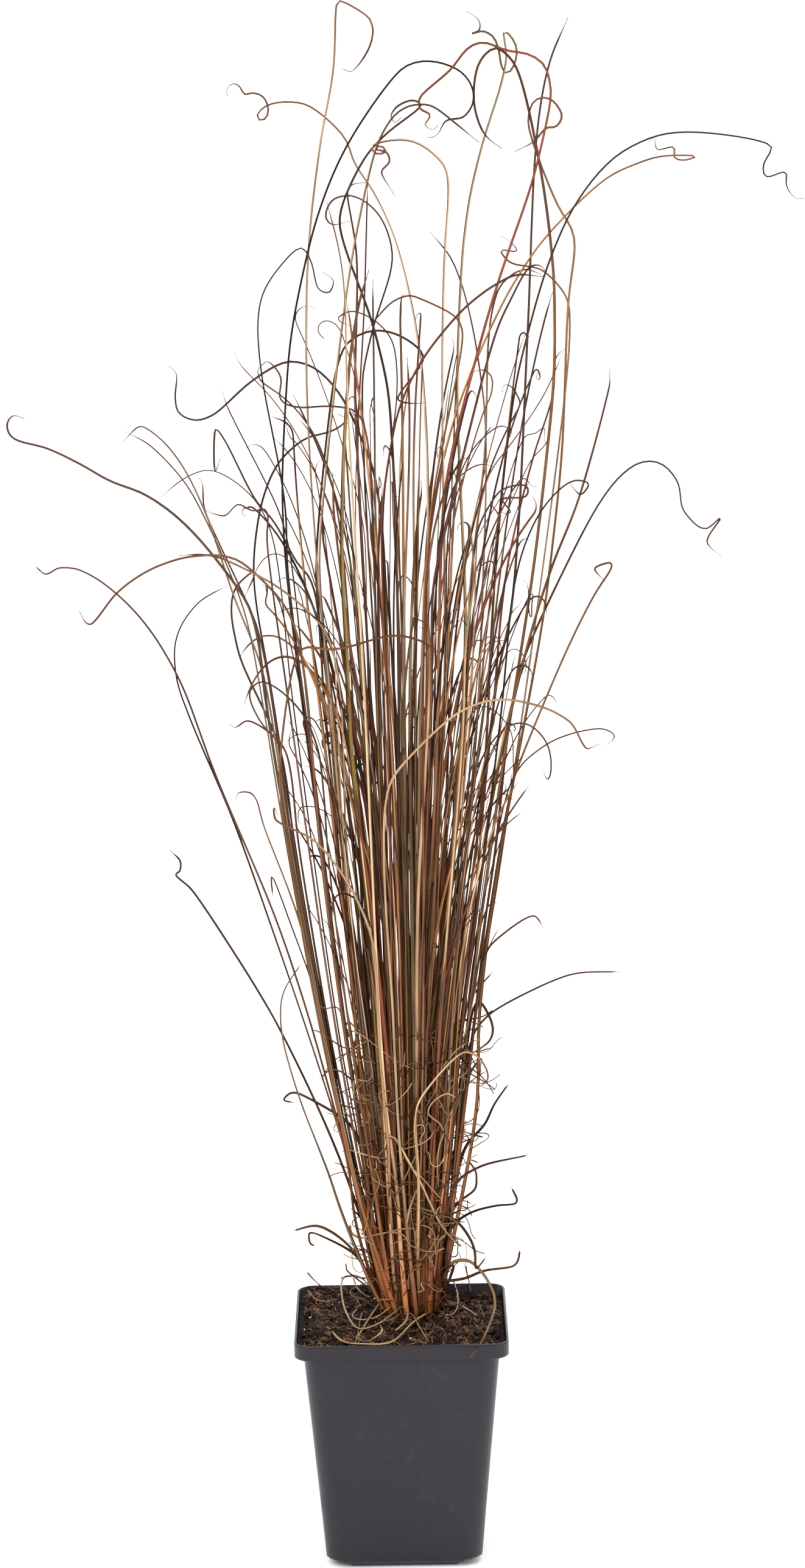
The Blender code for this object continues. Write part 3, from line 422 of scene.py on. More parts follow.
# Dry leaves on the soil: width in mm, heights over the soil in mm at start, middle and end
DryLeaf = namedtuple("DryLeaf", "width heights finish route")
DRY_LEAVES = (
    DryLeaf(1.7, (1, 3, 3), STRAW, (
        (538, 2180), (562, 2203), (600, 2208), (642, 2205), (682, 2170), (730, 2144), (757, 2146),
        (784, 2162))),
    DryLeaf(1.4, (8, 2, 6), TAN, (
        (600, 2100), (565, 2098), (565, 2145), (588, 2182), (618, 2176), (662, 2145))),
    DryLeaf(1.5, (1, 6, 8), STRAW, (
        (585, 2200), (612, 2157), (640, 2122), (675, 2098))),
    DryLeaf(1.3, (1, 4, 7), TAN, (
        (585, 2198), (602, 2203), (627, 2187), (624, 2176))),
    DryLeaf(1.4, (2, 9, 1), STRAW, (
        (650, 2186), (668, 2168), (672, 2122), (690, 2106), (722, 2137), (720, 2150))),
    DryLeaf(1.2, (1, 3, 1), TAN, ((676, 2155), (690, 2182), (704, 2204))),
    DryLeaf(1.2, (3, 5, 2), BROWN, ((505, 2091), (527, 2112), (553, 2119))),
    DryLeaf(1.2, (2, 3, 1), TAN, ((505, 2120), (520, 2135), (560, 2140))),
    DryLeaf(1.1, (9, 4, 1), BROWN, ((765, 2080), (769, 2100), (773, 2122))),
    DryLeaf(1.0, (3, 6, 2), TAN, ((745, 2105), (752, 2130), (750, 2150), (741, 2160), (722, 2158))),
    DryLeaf(1.1, (2, 4, 1), STRAW, ((733, 2140), (748, 2141), (765, 2150), (788, 2165))),
    DryLeaf(1.0, (1, 3, 1), TAN, ((597, 2148), (590, 2175), (586, 2200), (582, 2208))),
    DryLeaf(1.0, (2, 5, 3), STRAW, (
        (588, 2184), (604, 2182), (622, 2173), (645, 2166), (662, 2152), (670, 2120))),
    DryLeaf(0.8, (5, 8, 5), BROWN, ((560, 2100), (570, 2096), (586, 2096), (598, 2103), (610, 2118))),
    DryLeaf(1.2, (7, 6, 4), TAN, ((580, 2100), (585, 2114), (597, 2126), (608, 2132))),
    DryLeaf(1.1, (22, 12, 4), BROWN, ((568, 2076), (570, 2087), (586, 2101), (602, 2113), (612, 2124))),
)

# Dry leaves that hang against the front of the tuft: width in mm, and the route in the photograph
DrapedLeaf = namedtuple("DrapedLeaf", "width finish route")
DRAPED_LEAVES = (
    DrapedLeaf(1.8, STRAW, (
        (632, 1886), (636, 1869), (645, 1867), (672, 1910), (690, 1942), (705, 1975), (721, 2008),
        (736, 2029), (748, 2041), (759, 2046))),
    DrapedLeaf(1.5, TAN, (
        (574, 2013), (577, 2026), (591, 2034), (607, 2031), (640, 2024), (662, 2019), (680, 2018))),
    DrapedLeaf(0.9, STRAW, (
        (640, 2024), (662, 2029), (673, 2045), (686, 2051), (700, 2056), (714, 2056))),
    DrapedLeaf(1.0, TAN, ((731, 2028), (722, 2036), (719, 2050))),
    DrapedLeaf(1.1, TAN, ((728, 2050), (716, 2056), (707, 2068), (713, 2083), (713, 2098))),
    DrapedLeaf(0.8, TAN, ((640, 1792), (628, 1793), (622, 1800), (627, 1810), (642, 1815))),
    DrapedLeaf(1.2, STRAW, (
        (747, 1803), (735, 1797), (720, 1803), (706, 1817), (703, 1829), (712, 1838), (722, 1846),
        (728, 1862), (722, 1880), (718, 1910), (720, 1950))),
    DrapedLeaf(0.7, TAN, ((571, 1820), (577, 1809), (585, 1801), (595, 1799), (600, 1806))),
    DrapedLeaf(0.6, BROWN, ((582, 1808), (583, 1818), (591, 1824), (600, 1816), (607, 1810), (617, 1811))),
    DrapedLeaf(0.7, TAN, ((638, 1888), (628, 1891), (622, 1899), (624, 1908), (633, 1912), (642, 1907))),
    DrapedLeaf(0.9, TAN, ((630, 1908), (634, 1916), (643, 1930), (652, 1945))),
    DrapedLeaf(0.8, TAN, ((604, 1903), (604, 1914), (610, 1921), (618, 1919), (618, 1908))),
    DrapedLeaf(1.0, STRAW, ((660, 1946), (669, 1927), (682, 1900), (688, 1890))),
    DrapedLeaf(1.0, STRAW, ((617, 1922), (623, 1944), (614, 1966), (610, 2000), (609, 2030))),
    DrapedLeaf(0.8, BROWN, ((590, 1940), (600, 1918), (606, 1902), (602, 1893))),
    DrapedLeaf(1.6, STRAW, ((684, 1954), (678, 1972), (672, 1990), (668, 2010))),
    DrapedLeaf(0.8, BROWN, ((622, 1980), (640, 1986), (655, 1996), (664, 2012))),
    DrapedLeaf(0.9, TAN, ((682, 1850), (694, 1848), (697, 1858), (690, 1872), (690, 1880))),
    DrapedLeaf(0.9, TAN, ((697, 1999), (689, 2010), (683, 2024), (685, 2040))),
    DrapedLeaf(0.7, TAN, ((724, 1812), (726, 1817), (721, 1819))),
    DrapedLeaf(1.0, TAN, ((686, 1822), (692, 1834), (695, 1846), (692, 1852))),
    DrapedLeaf(0.9, BROWN, ((663, 1884), (672, 1874), (684, 1865), (694, 1858))),
    DrapedLeaf(1.2, ORANGE, ((703, 1788), (690, 1808), (684, 1826), (680, 1850), (684, 1900), (690, 1960))),
)


def camera_axes():
    """The camera's right, up and forward directions before its roll."""
    right = np.array((1.0, 0, 0))
    forward = np.array((0, cos(CAMERA_PITCH), -sin(CAMERA_PITCH)))
    up = np.array((0, sin(CAMERA_PITCH), cos(CAMERA_PITCH)))
    return right, up, forward


def to_room(pixels, depths):
    """Carry pixels back along their sight lines to planes at the given depths."""
    right, up, forward = camera_axes()
    across = (pixels[:, 0] - PHOTO_MIDDLE[0]) / FOCAL_PIXELS
    above = (PHOTO_MIDDLE[1] - pixels[:, 1]) / FOCAL_PIXELS
    level = across * cos(CAMERA_ROLL) + above * sin(CAMERA_ROLL)
    rise = above * cos(CAMERA_ROLL) - across * sin(CAMERA_ROLL)
    sight = forward + level[:, None] * right + rise[:, None] * up
    reach = (depths - CAMERA_PLACE[1]) / sight[:, 1]
    return CAMERA_PLACE + reach[:, None] * sight


def to_photo(point):
    """The pixel at which a point of the room shows."""
    right, up, forward = camera_axes()
    sight = np.array(point) - CAMERA_PLACE
    level = sight @ right / (sight @ forward)
    rise = sight @ up / (sight @ forward)
    across = level * cos(CAMERA_ROLL) - rise * sin(CAMERA_ROLL)
    above = rise * cos(CAMERA_ROLL) + level * sin(CAMERA_ROLL)
    return (PHOTO_MIDDLE[0] + FOCAL_PIXELS * across, PHOTO_MIDDLE[1] - FOCAL_PIXELS * above)


def smooth(points, steps=8):
    """A Catmull-Rom curve through the points, whose knots are the square roots of the gaps."""
    points = np.asarray(points, float)
    ends = np.vstack((2 * points[0] - points[1], points, 2 * points[-1] - points[-2]))
    knots = np.concatenate(((0,), np.cumsum(np.linalg.norm(np.diff(ends, axis=0), axis=1) ** 0.5)))
    p = [ends[i:len(ends) - 3 + i, None] for i in range(4)]
    t = [knots[i:len(ends) - 3 + i, None, None] for i in range(4)]
    at = t[1] + (t[2] - t[1]) * np.linspace(0, 1, steps, endpoint=False)[None, :, None]

    def between(a, b, low, high):
        """A blend that is a where at is low and b where it is high."""
        return (a * (high - at) + b * (at - low)) / (high - low)

    first = between(p[0], p[1], t[0], t[1])
    second = between(p[1], p[2], t[1], t[2])
    third = between(p[2], p[3], t[2], t[3])
    near = between(first, second, t[0], t[2])
    far = between(second, third, t[1], t[3])
    curve = between(near, far, t[1], t[2]).reshape(-1, points.shape[1])
    return np.vstack((curve, points[-1]))


def lengths_along(points):
    """The distance along a line at each of its points."""
    return np.concatenate(((0,), np.cumsum(np.linalg.norm(np.diff(points, axis=0), axis=1))))


def simplify(points, tolerance):
    """Keep the fewest points whose straight runs stay within the tolerance of the line."""
    keep = {0, len(points) - 1}
    spans = [(0, len(points) - 1)]
    while spans:
        low, high = spans.pop()
        if high - low < 2:
            continue
        run = points[high] - points[low]
        offset = points[low:high + 1] - points[low]
        share = np.clip(offset @ run / max(run @ run, 1e-12), 0, 1)
        off = np.linalg.norm(offset - share[:, None] * run, axis=1)
        worst = int(np.argmax(off))
        if off[worst] > tolerance:
            keep.add(low + worst)
            spans += [(low, low + worst), (low + worst, high)]
    return points[sorted(keep)]


def fan_place(leaf):
    """Where a leaf stands in the fan: -1 at its left edge, 1 at its right edge."""
    x, y = leaf.route[0]
    offset = x - np.interp(y, FAN_LEVEL, FAN_MIDDLE)
    return float(np.clip(offset / np.interp(y, FAN_LEVEL, FAN_HALF), -1, 1))


def planting(leaves):
    """Give each leaf its base: leaves that lean forward in the front rows, in order across."""
    bases = {}
    waiting = sorted(leaves, key=lambda leaf: leaf.lean)
    for row, count in enumerate(ROW_COUNTS):
        taken = sorted(waiting[:count], key=fan_place)
        waiting = waiting[count:]
        for column, leaf in enumerate(taken):
            across = (column - (count - 1) / 2) * COLUMN_PITCH
            behind = (row - (len(ROW_COUNTS) - 1) / 2) * ROW_PITCH
            bases[leaf.name] = (CROWN.x + across, CROWN.y + behind, SOIL_TOP + GAP)
    return bases


def leaf_line(leaf, base):
    """A leaf's line in the room, from its base to its tip, as few points."""
    share = fan_place(leaf)
    start = leaf.route[0][1]
    stops = [
        (np.interp(y, FAN_LEVEL, FAN_MIDDLE) + share * np.interp(y, FAN_LEVEL, FAN_HALF), y)
        for y in FAN_STOPS if y > start + FAN_CLEARANCE]
    pixels = smooth([to_photo(base), *stops, *leaf.route])
    along = lengths_along(pixels)
    leaning = (along / along[-1]) ** 1.7
    points = to_room(pixels, base[1] + leaf.lean * MM * leaning)
    return simplify(points, ROUTE_TOLERANCE)


def leaf_widths(leaf, points):
    """Sheath width at the base, easing to the leaf's own width and narrowing to its tip."""
    along = lengths_along(points)
    out_of_sheath = np.clip((along - SHEATH_LENGTH) / (SHEATH_END - SHEATH_LENGTH), 0, 1)
    width = SHEATH_WIDTH + (leaf.width * MM - SHEATH_WIDTH) * out_of_sheath
    tip = np.clip(along / along[-1] * 2 - 1, 0, 1)
    return np.maximum(width * (1 - (1 - TIP_SHARE) * tip), LEAST_WIDTH)


def nearest_shares(a, b, c, d):
    """Where segments a-b and c-d pass closest, as shares along each."""
    u, v, w = b - a, d - c, a - c
    uu, uv, vv = (u * u).sum(1), (u * v).sum(1), (v * v).sum(1)
    uw, vw = (u * w).sum(1), (v * w).sum(1)
    s = np.clip((uv * vw - vv * uw) / np.maximum(uu * vv - uv * uv, 1e-15), 0, 1)
    t = np.clip((uv * s + vw) / np.maximum(vv, 1e-15), 0, 1)
    s = np.clip((uv * t - uw) / np.maximum(uu, 1e-15), 0, 1)
    return s, t


def settle(lines, widths, rounds=400):
    """Push leaves apart, a little each round, until each passes clear of the others."""
    places = np.vstack(lines)
    radius = np.concatenate(widths) * SECTION_REACH
    owner = np.repeat(np.arange(len(lines)), [len(line) for line in lines])
    first = np.flatnonzero(owner[:-1] == owner[1:])
    rooted = np.concatenate([np.minimum(lengths_along(line) / (20 * MM), 1) for line in lines])
    one, two = np.triu_indices(len(first), 1)
    apart = (owner[first[one]] != owner[first[two]]) | (first[two] - first[one] > 2)
    one, two = first[one[apart]], first[two[apart]]
    for turn in range(rounds):
        if turn % 20 == 0:
            middle = (places[one] + places[one + 1] - places[two] - places[two + 1]) / 2
            reach = (np.linalg.norm(places[one + 1] - places[one], axis=1)
                     + np.linalg.norm(places[two + 1] - places[two], axis=1)) / 2
            close = np.linalg.norm(middle, axis=1) < reach + 12 * MM
        i, j = one[close], two[close]
        s, t = nearest_shares(places[i], places[i + 1], places[j], places[j + 1])
        s, t = s[:, None], t[:, None]
        gap = (places[i] * (1 - s) + places[i + 1] * s) - (places[j] * (1 - t) + places[j + 1] * t)
        s, t = s[:, 0], t[:, 0]
        wanted = LEAF_GAP + np.maximum(radius[i], radius[i + 1]) + np.maximum(radius[j], radius[j + 1])
        distance = np.linalg.norm(gap, axis=1)
        missing = wanted - distance
        short = missing > 0.1 * MM
        if not short.any():
            break
        i, j, s, t = i[short], j[short], s[short], t[short]
        way_apart = gap[short] / np.maximum(distance[short], 0.01 * MM)[:, None]
        push = way_apart * missing[short, None] * 0.6
        moves = np.zeros_like(places)
        counts = np.full(len(places), 1e-9)
        for index, share, way in ((i, 1 - s, 1), (i + 1, s, 1), (j, 1 - t, -1), (j + 1, t, -1)):
            np.add.at(moves, index, way * push * share[:, None])
            np.add.at(counts, index, share)
        places += moves * (rooted / np.maximum(counts, 1))[:, None]
    return np.split(places, np.cumsum([len(line) for line in lines])[:-1])


def resample(points, count=RINGS):
    """A smooth line through the points, with its rings closer together towards the tip."""
    line = smooth(points, 10)
    along = lengths_along(line)
    share = 1 - (1 - np.linspace(0, 1, count)) ** TIP_CROWDING
    return np.stack([np.interp(share * along[-1], along, line[:, k]) for k in range(3)], 1)


def unit(vectors):
    """Vectors scaled to length 1."""
    return vectors / np.maximum(np.linalg.norm(vectors, axis=-1, keepdims=True), 1e-12)


def turned_frames(lines, twist):
    """Side and face directions that turn as little as the lines allow, then twist about them.

    lines is leaves x rings x 3. The first side is square to the way out from the tuft's middle.
    """
    ahead = unit(np.gradient(lines, axis=1))
    out = unit((lines[:, -1] - lines[:, 0]) * (1, 1, 0))
    side = unit(np.cross(ahead[:, 0], out + (0.001, 0, 0)))
    sides = np.empty_like(lines)
    for ring in range(lines.shape[1]):
        side = unit(side - (side * ahead[:, ring]).sum(1, keepdims=True) * ahead[:, ring])
        sides[:, ring] = side
    faces = np.cross(sides, ahead)
    turn = twist[:, :, None]
    return sides * np.cos(turn) + faces * np.sin(turn), faces * np.cos(turn) - sides * np.sin(turn)


def blade_widths(along, width, sheath):
    """Sheath width at the soil, easing up to SHEATH_END into the blade, then to a fine tip."""
    out_of_sheath = np.clip((along - SHEATH_LENGTH) / (SHEATH_END - SHEATH_LENGTH), 0, 1) ** 0.4
    share = along / along[:, -1:]
    body = sheath + (width - sheath) * out_of_sheath
    thin = np.clip(TIP_RATIO * width, *TIP_RANGE)
    blade = thin + (np.maximum(body, thin) - thin) * (1 - share ** TAPER_POWER)
    return blade * np.clip((1 - share) / TIP_END, BLADE_TIP, 1)


def blade_colours(along, finish, tone, turn_shift, green):
    """Low colour, high colour past the leaf's own turn, a reddish sheath and a dark dry tip.

    Two sine waves shift the turn along the leaf. Some leaves are green near the base. The sheath's
    colour dies away within its reach and is weaker on a short leaf. Each leaf has a tone of its own.
    A painted shade darkens each leaf near its base, where the foot of the tuft is dense.
    """
    share = along / along[:, -1:]
    low, high = finish[:, 0, None], finish[:, 1, None]
    turn = finish[:, 2, :1] + turn_shift
    wave = 0.07 * np.sin(share * 23 + tone[:, None] * 40) + 0.04 * np.sin(share * 61 + tone[:, None] * 90)
    mix = np.clip((share + wave - turn) / TURN_BLEND + 0.5, 0, 1)[:, :, None]
    colour = low * (1 - mix) + high * mix
    dried = DRIED_MOST * np.clip((share - DRIED_START) / DRIED_BLEND, 0, 1)[:, :, None]
    colour = colour * (1 - dried) + TIP_COLOUR * dried
    fresh = (green[:, None] * np.exp(-along / GREEN_REACH))[:, :, None]
    colour = colour + (GREEN_COLOUR - colour) * fresh
    reach = SHEATH_REACH + SHEATH_REACH_SPREAD * np.sin(tone[:, None] * 57)
    strength = SHEATH_MOST * np.clip(along[:, -1:] / FULL_SHEATH_LENGTH, 0, 1) ** 2
    sheath = (strength * np.exp(-(along / reach) ** 1.5))[:, :, None]
    colour = colour * (1 - sheath) + SHEATH_COLOUR * sheath
    # painted shade near the leaf's base
    base_shade = 1 - BASE_SHADE * np.exp(-(along / BASE_SHADE_REACH) ** 2)
    return colour * (LEAST_TONE + TONE_SPAN * tone[:, None, None]) * base_shade[:, :, None]


def blades(lines, widths, twist):
    """Sweep SECTION along every line: points are line + side * x * width + face * y * width."""
    sides, faces = turned_frames(lines, twist)
    w = widths[:, :, None, None]
    return lines[:, :, None] + w * (SECTION[:, :1] * sides[:, :, None] + SECTION[:, 1:] * faces[:, :, None])


def tube_faces(tubes, rings, around):
    """Quads between neighbouring rings of each closed tube, without its ends."""
    ring = np.arange(rings - 1)[:, None] * around
    i = np.arange(around)
    j = (i + 1) % around
    quads = np.stack((ring + i, ring + j, ring + around + j, ring + around + i), -1).reshape(-1, 4)
    starts = np.arange(tubes)[:, None, None] * rings * around
    return (starts + quads[:, ::-1]).reshape(-1, 4)


def capped_tubes(tubes, rings, around):
    """The quads of tube_faces, then one face over each tube's first ring, then over its last."""
    starts = np.arange(tubes) * rings * around
    first = [[start + k for k in range(around)] for start in starts]
    last = [[start + (rings - 1) * around + k for k in reversed(range(around))] for start in starts]
    return tube_faces(tubes, rings, around).tolist() + first + last


def new_piece(name, points, faces, finish, replaces=(), attributes=None, smooth_faces=True):
    """Put arrays into a mesh object that rides on the body."""
    mesh = bpy.data.meshes.new(name)
    mesh.from_pydata(points.reshape(-1, 3).tolist(), [], [list(face) for face in faces])
    for key, values in (attributes or {}).items():
        kind = "FLOAT_COLOR" if values.ndim == 2 else "FLOAT"
        made = mesh.attributes.new(key, kind, "POINT")
        made.data.foreach_set("color" if values.ndim == 2 else "value", values.astype(np.float32).ravel())
    if smooth_faces:
        mesh.shade_smooth()
    mesh.materials.append(finish)
    piece = bpy.data.objects.new(name, mesh)
    bpy.context.scene.collection.objects.link(piece)
    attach(piece, BODY)
    if replaces:
        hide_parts(*replaces)
    return piece


def leaf_piece(name, chosen, batch, finish, replaces=()):
    """One piece of several leaves of the batch: colour, streak and painted edge shade attributes."""
    points, colour, along = (batch[key][chosen] for key in ("points", "colour", "along"))
    count, rings, around = points.shape[:3]
    whole = (count, rings, around)
    opaque = np.concatenate((colour, np.ones((count, rings, 1))), 2)
    tint = np.broadcast_to(opaque[:, :, None], (*whole, 4))
    edge = np.broadcast_to(SECTION_EDGE_SHADE, whole)
    across = np.broadcast_to(SECTION[:, 0], whole)
    down = np.broadcast_to(along[:, :, None] + batch["tone"][chosen][:, None, None] * 9, whole)
    attributes = {"tint": tint.reshape(-1, 4), "edge": edge.ravel(), "across": across.ravel(),
                  "along": down.ravel()}
    return new_piece(name, points, capped_tubes(*whole), finish, replaces, attributes)


def leaf_batch(lines, widths, sheaths, finishes, green, shaded_from=0):
    """Points, colours and lengths of many leaves at once, each leaf with a random tone.

    From the leaf numbered by the last argument on, tones lean dim. Among the tuft's leaves these are
    the fillers, and their dimness is a painted shade of the tuft's inside.
    """
    count = len(lines)
    along = np.stack([lengths_along(line) for line in lines])
    tone = rng.random(count)
    # painted shade: tones lean dim from here on
    tone[shaded_from:] **= 1.6
    twist = rng.uniform(-0.7, 0.7, (count, 1)) + rng.uniform(-3, 3, (count, 1)) * (along / along[:, -1:])
    width = blade_widths(along, widths[:, None], sheaths[:, None])
    colour = blade_colours(along, finishes, tone, rng.uniform(-0.1, 0.1, (count, 1)), green)
    return {"points": blades(lines, width, twist), "colour": colour, "along": along, "tone": tone}


def column(low, high, count):
    """Random values between low and high, one for each leaf, in a column."""
    return rng.uniform(low, high, (count, 1))


def along_headings(climb, heading, share, length, base):
    """The line whose direction at each ring is the given climb and compass heading."""
    level = np.cos(climb)
    ahead = np.stack((level * np.cos(heading), level * np.sin(heading), np.sin(climb)), 2)
    steps = np.diff(share, axis=1, prepend=0)[:, :, None] * length[:, :, None]
    line = np.cumsum(ahead * steps, axis=1)
    return line - line[:, :1] + base[:, None]


def ring_shares():
    """Shares of the length at the rings, closer together towards the tip."""
    return 1 - (1 - np.linspace(0, 1, RINGS)[None]) ** TIP_CROWDING


def grown_lines(count, length, tilt, final, curl, power, begin, spread):
    """Leaves that grow by their heading: it starts near upright, falls away and curls at the tip.

    The climb is 90 degrees - tilt at the base and final at the tip, by a power of the share of
    the length. A knee bends it part way, and curl turns wind it up past the share begin. The
    leaf is then drawn in sideways until it stays within the fan's radius times spread.
    """
    share = ring_shares()
    around = column(0, 2 * pi, count)
    late = np.clip((share - begin) / (1 - begin), 0, 1)
    knee = column(-0.4, 0.2, count) * (rng.random((count, 1)) < 0.4)
    knee = knee * np.tanh((share - column(0.45, 0.85, count)) / 0.025)
    climb = pi / 2 - tilt - (pi / 2 - tilt - final) * share ** power + knee * share ** 2
    late = late * np.minimum(1.3 * rng.random((count, 1)) ** 1.6, 1)
    wander = [late * np.sin(late * column(4, 12, count) + around * k) for k in (3, 5)]
    bend = column(0.01, 0.075, count) * np.sin(share * column(6, 17, count) + around * 7)
    climb = climb + bend + late ** 1.4 * curl * 2 * pi + 1.1 * wander[0]
    sway = 0.3 * np.sin(share * column(4, 9, count) + around * 3) * share
    heading = around + sway + late * column(-2.4, 2.4, count) + 1.3 * wander[1]
    start = FILLER_BASE_SHARE * np.sqrt(rng.random((count, 1)))
    base = np.concatenate((CROWN.x + FILLER_BASE[0] * start * np.cos(around),
                           CROWN.y + FILLER_BASE[1] * start * np.sin(around),
                           np.full((count, 1), SOIL_TOP)), 1)
    lines = along_headings(climb, heading, share, length, base)
    out = np.hypot(lines[:, :, 0] - CROWN.x, lines[:, :, 1] - CROWN.y)
    limit = np.interp(lines[:, :, 2], FAN_HEIGHT, FAN_RADIUS) * spread
    draw = np.maximum((out / limit).max(1), 1)[:, None]
    lines[:, :, :2] = lines[:, :1, :2] + (lines[:, :, :2] - lines[:, :1, :2]) / draw[:, :, None]
    return lines


def fillers():
    """Uprights fill the middle, archers spread out and droop, shorts fill the foot.

    The columns are length, tilt, final climb, curl turns, power and where the curl begins.
    """
    return np.concatenate((
        grown_lines(UPRIGHTS, column(0.21, 0.56, UPRIGHTS), column(0.01, 0.14, UPRIGHTS),
                    column(0.5, 1.5, UPRIGHTS), column(-1.5, 1.0, UPRIGHTS), column(2.5, 8, UPRIGHTS),
                    column(0.93, 0.985, UPRIGHTS), 1.0),
        grown_lines(ARCHERS, column(0.28, 0.52, ARCHERS), column(0.04, 0.16, ARCHERS),
                    column(-0.9, 0.6, ARCHERS), column(-1.9, -0.2, ARCHERS), column(2.4, 4.5, ARCHERS),
                    column(0.86, 0.96, ARCHERS), 1.2),
        grown_lines(SHORTS, column(0.05, 0.20, SHORTS), column(0.02, 0.16, SHORTS),
                    column(-0.6, 0.9, SHORTS), column(-1.3, 0.8, SHORTS), column(1.5, 3, SHORTS),
                    column(0.86, 0.96, SHORTS), 1.25)))


def shred_lines(count):
    """Short dry curls that hang about the foot of the tuft, each a wavy run of headings.

    Each starts on the fan's radius times a random share, and more start on the tuft's front half.
    """
    share = np.linspace(0, 1, SHRED_RINGS)[None]
    front = rng.random((count, 1)) < SHRED_FRONT_CHANCE
    around = np.where(front, column(pi, 2 * pi, count), column(0, 2 * pi, count))
    height = SOIL_TOP + SHRED_TOP * rng.random((count, 1)) ** 1.1
    radius = np.interp(height, FAN_HEIGHT, FAN_RADIUS) * column(0.6, 0.95, count)
    base = np.concatenate((CROWN.x + radius * np.cos(around),
                           CROWN.y + radius * FRONT_SQUASH * np.sin(around), height), 1)
    heading = (around + np.sign(column(-1, 1, count)) * column(1.1, 1.9, count)
               + column(-1.8, 1.8, count) * np.sin(share * column(2, 8, count) + around))
    climb = (column(-0.7, 1.2, count)
             + column(-1.4, 1.4, count) * np.sin(share * column(2, 9, count) + around * 2))
    shares = np.broadcast_to(share, (count, SHRED_RINGS))
    lines = along_headings(climb, heading, shares, column(0.014, 0.042, count), base)
    lines[:, :, 2] = np.maximum(lines[:, :, 2], SOIL_TOP + 0.8 * MM)
    return lines


class Socket:
    """A node's output that takes part in Python expressions by adding Math nodes."""

    def __init__(self, tree, output):
        self.tree = tree
        self.output = output

    def node(self, kind, settings=None, **inputs):
        """Add a node: its settings first, then the values or links of its sockets."""
        made = self.tree.nodes.new("ShaderNode" + kind)
        for key, value in (settings or {}).items():
            setattr(made, key, value)
        for key, value in inputs.items():
            index = int(key[1:]) if key[0] == "i" and key[1:].isdigit() else key.replace("_", " ")
            if isinstance(value, Socket):
                self.tree.links.new(value.output, made.inputs[index])
            else:
                made.inputs[index].default_value = value
        return made

    def maths(self, operation, a, b=0.0):
        """A Math node's result for two numbers or sockets."""
        made = self.node("Math", {"operation": operation}, i0=a, i1=b)
        return Socket(self.tree, made.outputs[0])

    def __add__(self, other):
        return self.maths("ADD", self, other)

    def __mul__(self, other):
        return self.maths("MULTIPLY", self, other)

    def __sub__(self, other):
        return self.maths("SUBTRACT", self, other)

    def __rsub__(self, other):
        return self.maths("SUBTRACT", other, self)

    __radd__ = __add__
    __rmul__ = __mul__

    def ramp(self, low, high):
        """0 below low, 1 above high, smooth between."""
        settings = {"interpolation_type": "SMOOTHSTEP"}
        made = self.node("MapRange", settings, Value=self, From_Min=low, From_Max=high)
        return Socket(self.tree, made.outputs[0])

    def mix(self, a, b):
        """Colour a where this is 0, colour b where it is 1."""
        made = self.node("Mix", {"data_type": "RGBA"}, i0=self, i6=a, i7=b)
        return Socket(self.tree, made.outputs[2])


class Finish:
    """A new Principled material and the ways to feed it."""

    def __init__(self, name, roughness=0.5, specular=0.5):
        self.material = bpy.data.materials.new(name)
        self.material.use_nodes = True
        self.tree = self.material.node_tree
        self.shader = self.tree.nodes["Principled BSDF"]
        self.shader.inputs["Roughness"].default_value = roughness
        self.shader.inputs["Specular IOR Level"].default_value = specular
        self.start = Socket(self.tree, None)

    def place(self):
        """Object coordinates."""
        return Socket(self.tree, self.start.node("TexCoord").outputs["Object"])

    def attribute(self, name, output="Fac"):
        """The mesh's own attribute of that name."""
        made = self.start.node("Attribute", {"attribute_name": name})
        return Socket(self.tree, made.outputs[output])

    def noise(self, vector, scale, detail=3.0):
        """Cloudy noise from 0 to 1, finer as scale grows."""
        made = self.start.node("TexNoise", Vector=vector, Scale=scale, Detail=detail, Roughness=0.55)
        return Socket(self.tree, made.outputs["Fac"])

    def vector(self, x, y, z=0.0):
        """Three numbers or sockets as one vector."""
        return Socket(self.tree, self.start.node("CombineXYZ", X=x, Y=y, Z=z).outputs[0])

    def scaled(self, colour, factor):
        """A colour times a number."""
        made = self.start.node("VectorMath", {"operation": "SCALE"}, i0=colour, Scale=factor)
        return Socket(self.tree, made.outputs[0])

    def feed(self, **inputs):
        """Link sockets to the shader's inputs."""
        for key, value in inputs.items():
            self.tree.links.new(value.output, self.shader.inputs[key.replace("_", " ")])
        return self

    def bump(self, height, strength, distance):
        """Bend the shading by a height that stands up to distance metres."""
        made = self.start.node("Bump", Strength=strength, Distance=distance, Height=height)
        self.tree.links.new(made.outputs[0], self.shader.inputs["Normal"])
        return self


def leaf_finish():
    """Leaf: tint attribute, fine streaks along the blade, painted shade at its edges, faint waxy shine."""
    made = Finish("sedge leaf", specular=0.12)
    across, along = made.attribute("across"), made.attribute("along")
    streak = made.noise(made.vector(across * 7, along * 9), 3.0, 4.0)
    blotch = made.noise(made.vector(across * 0.6, along * 30, 3.0), 1.6, 2.0)
    # painted shade: the blade's edges darken, to 0.15 of their colour at the very edge
    edge = made.attribute("edge").ramp(0.3, 0.95)
    shade = (streak + 0.45) * (blotch * 1.1 + 0.42) * (1 - edge * 0.85)
    made.feed(Base_Color=made.scaled(made.attribute("tint", "Color"), shade), Roughness=streak * 0.25 + 0.36)
    made.bump(made.noise(made.vector(across * 16, along * 3), 3.0, 2.0), 0.25, 0.15 * MM)
    return made.material


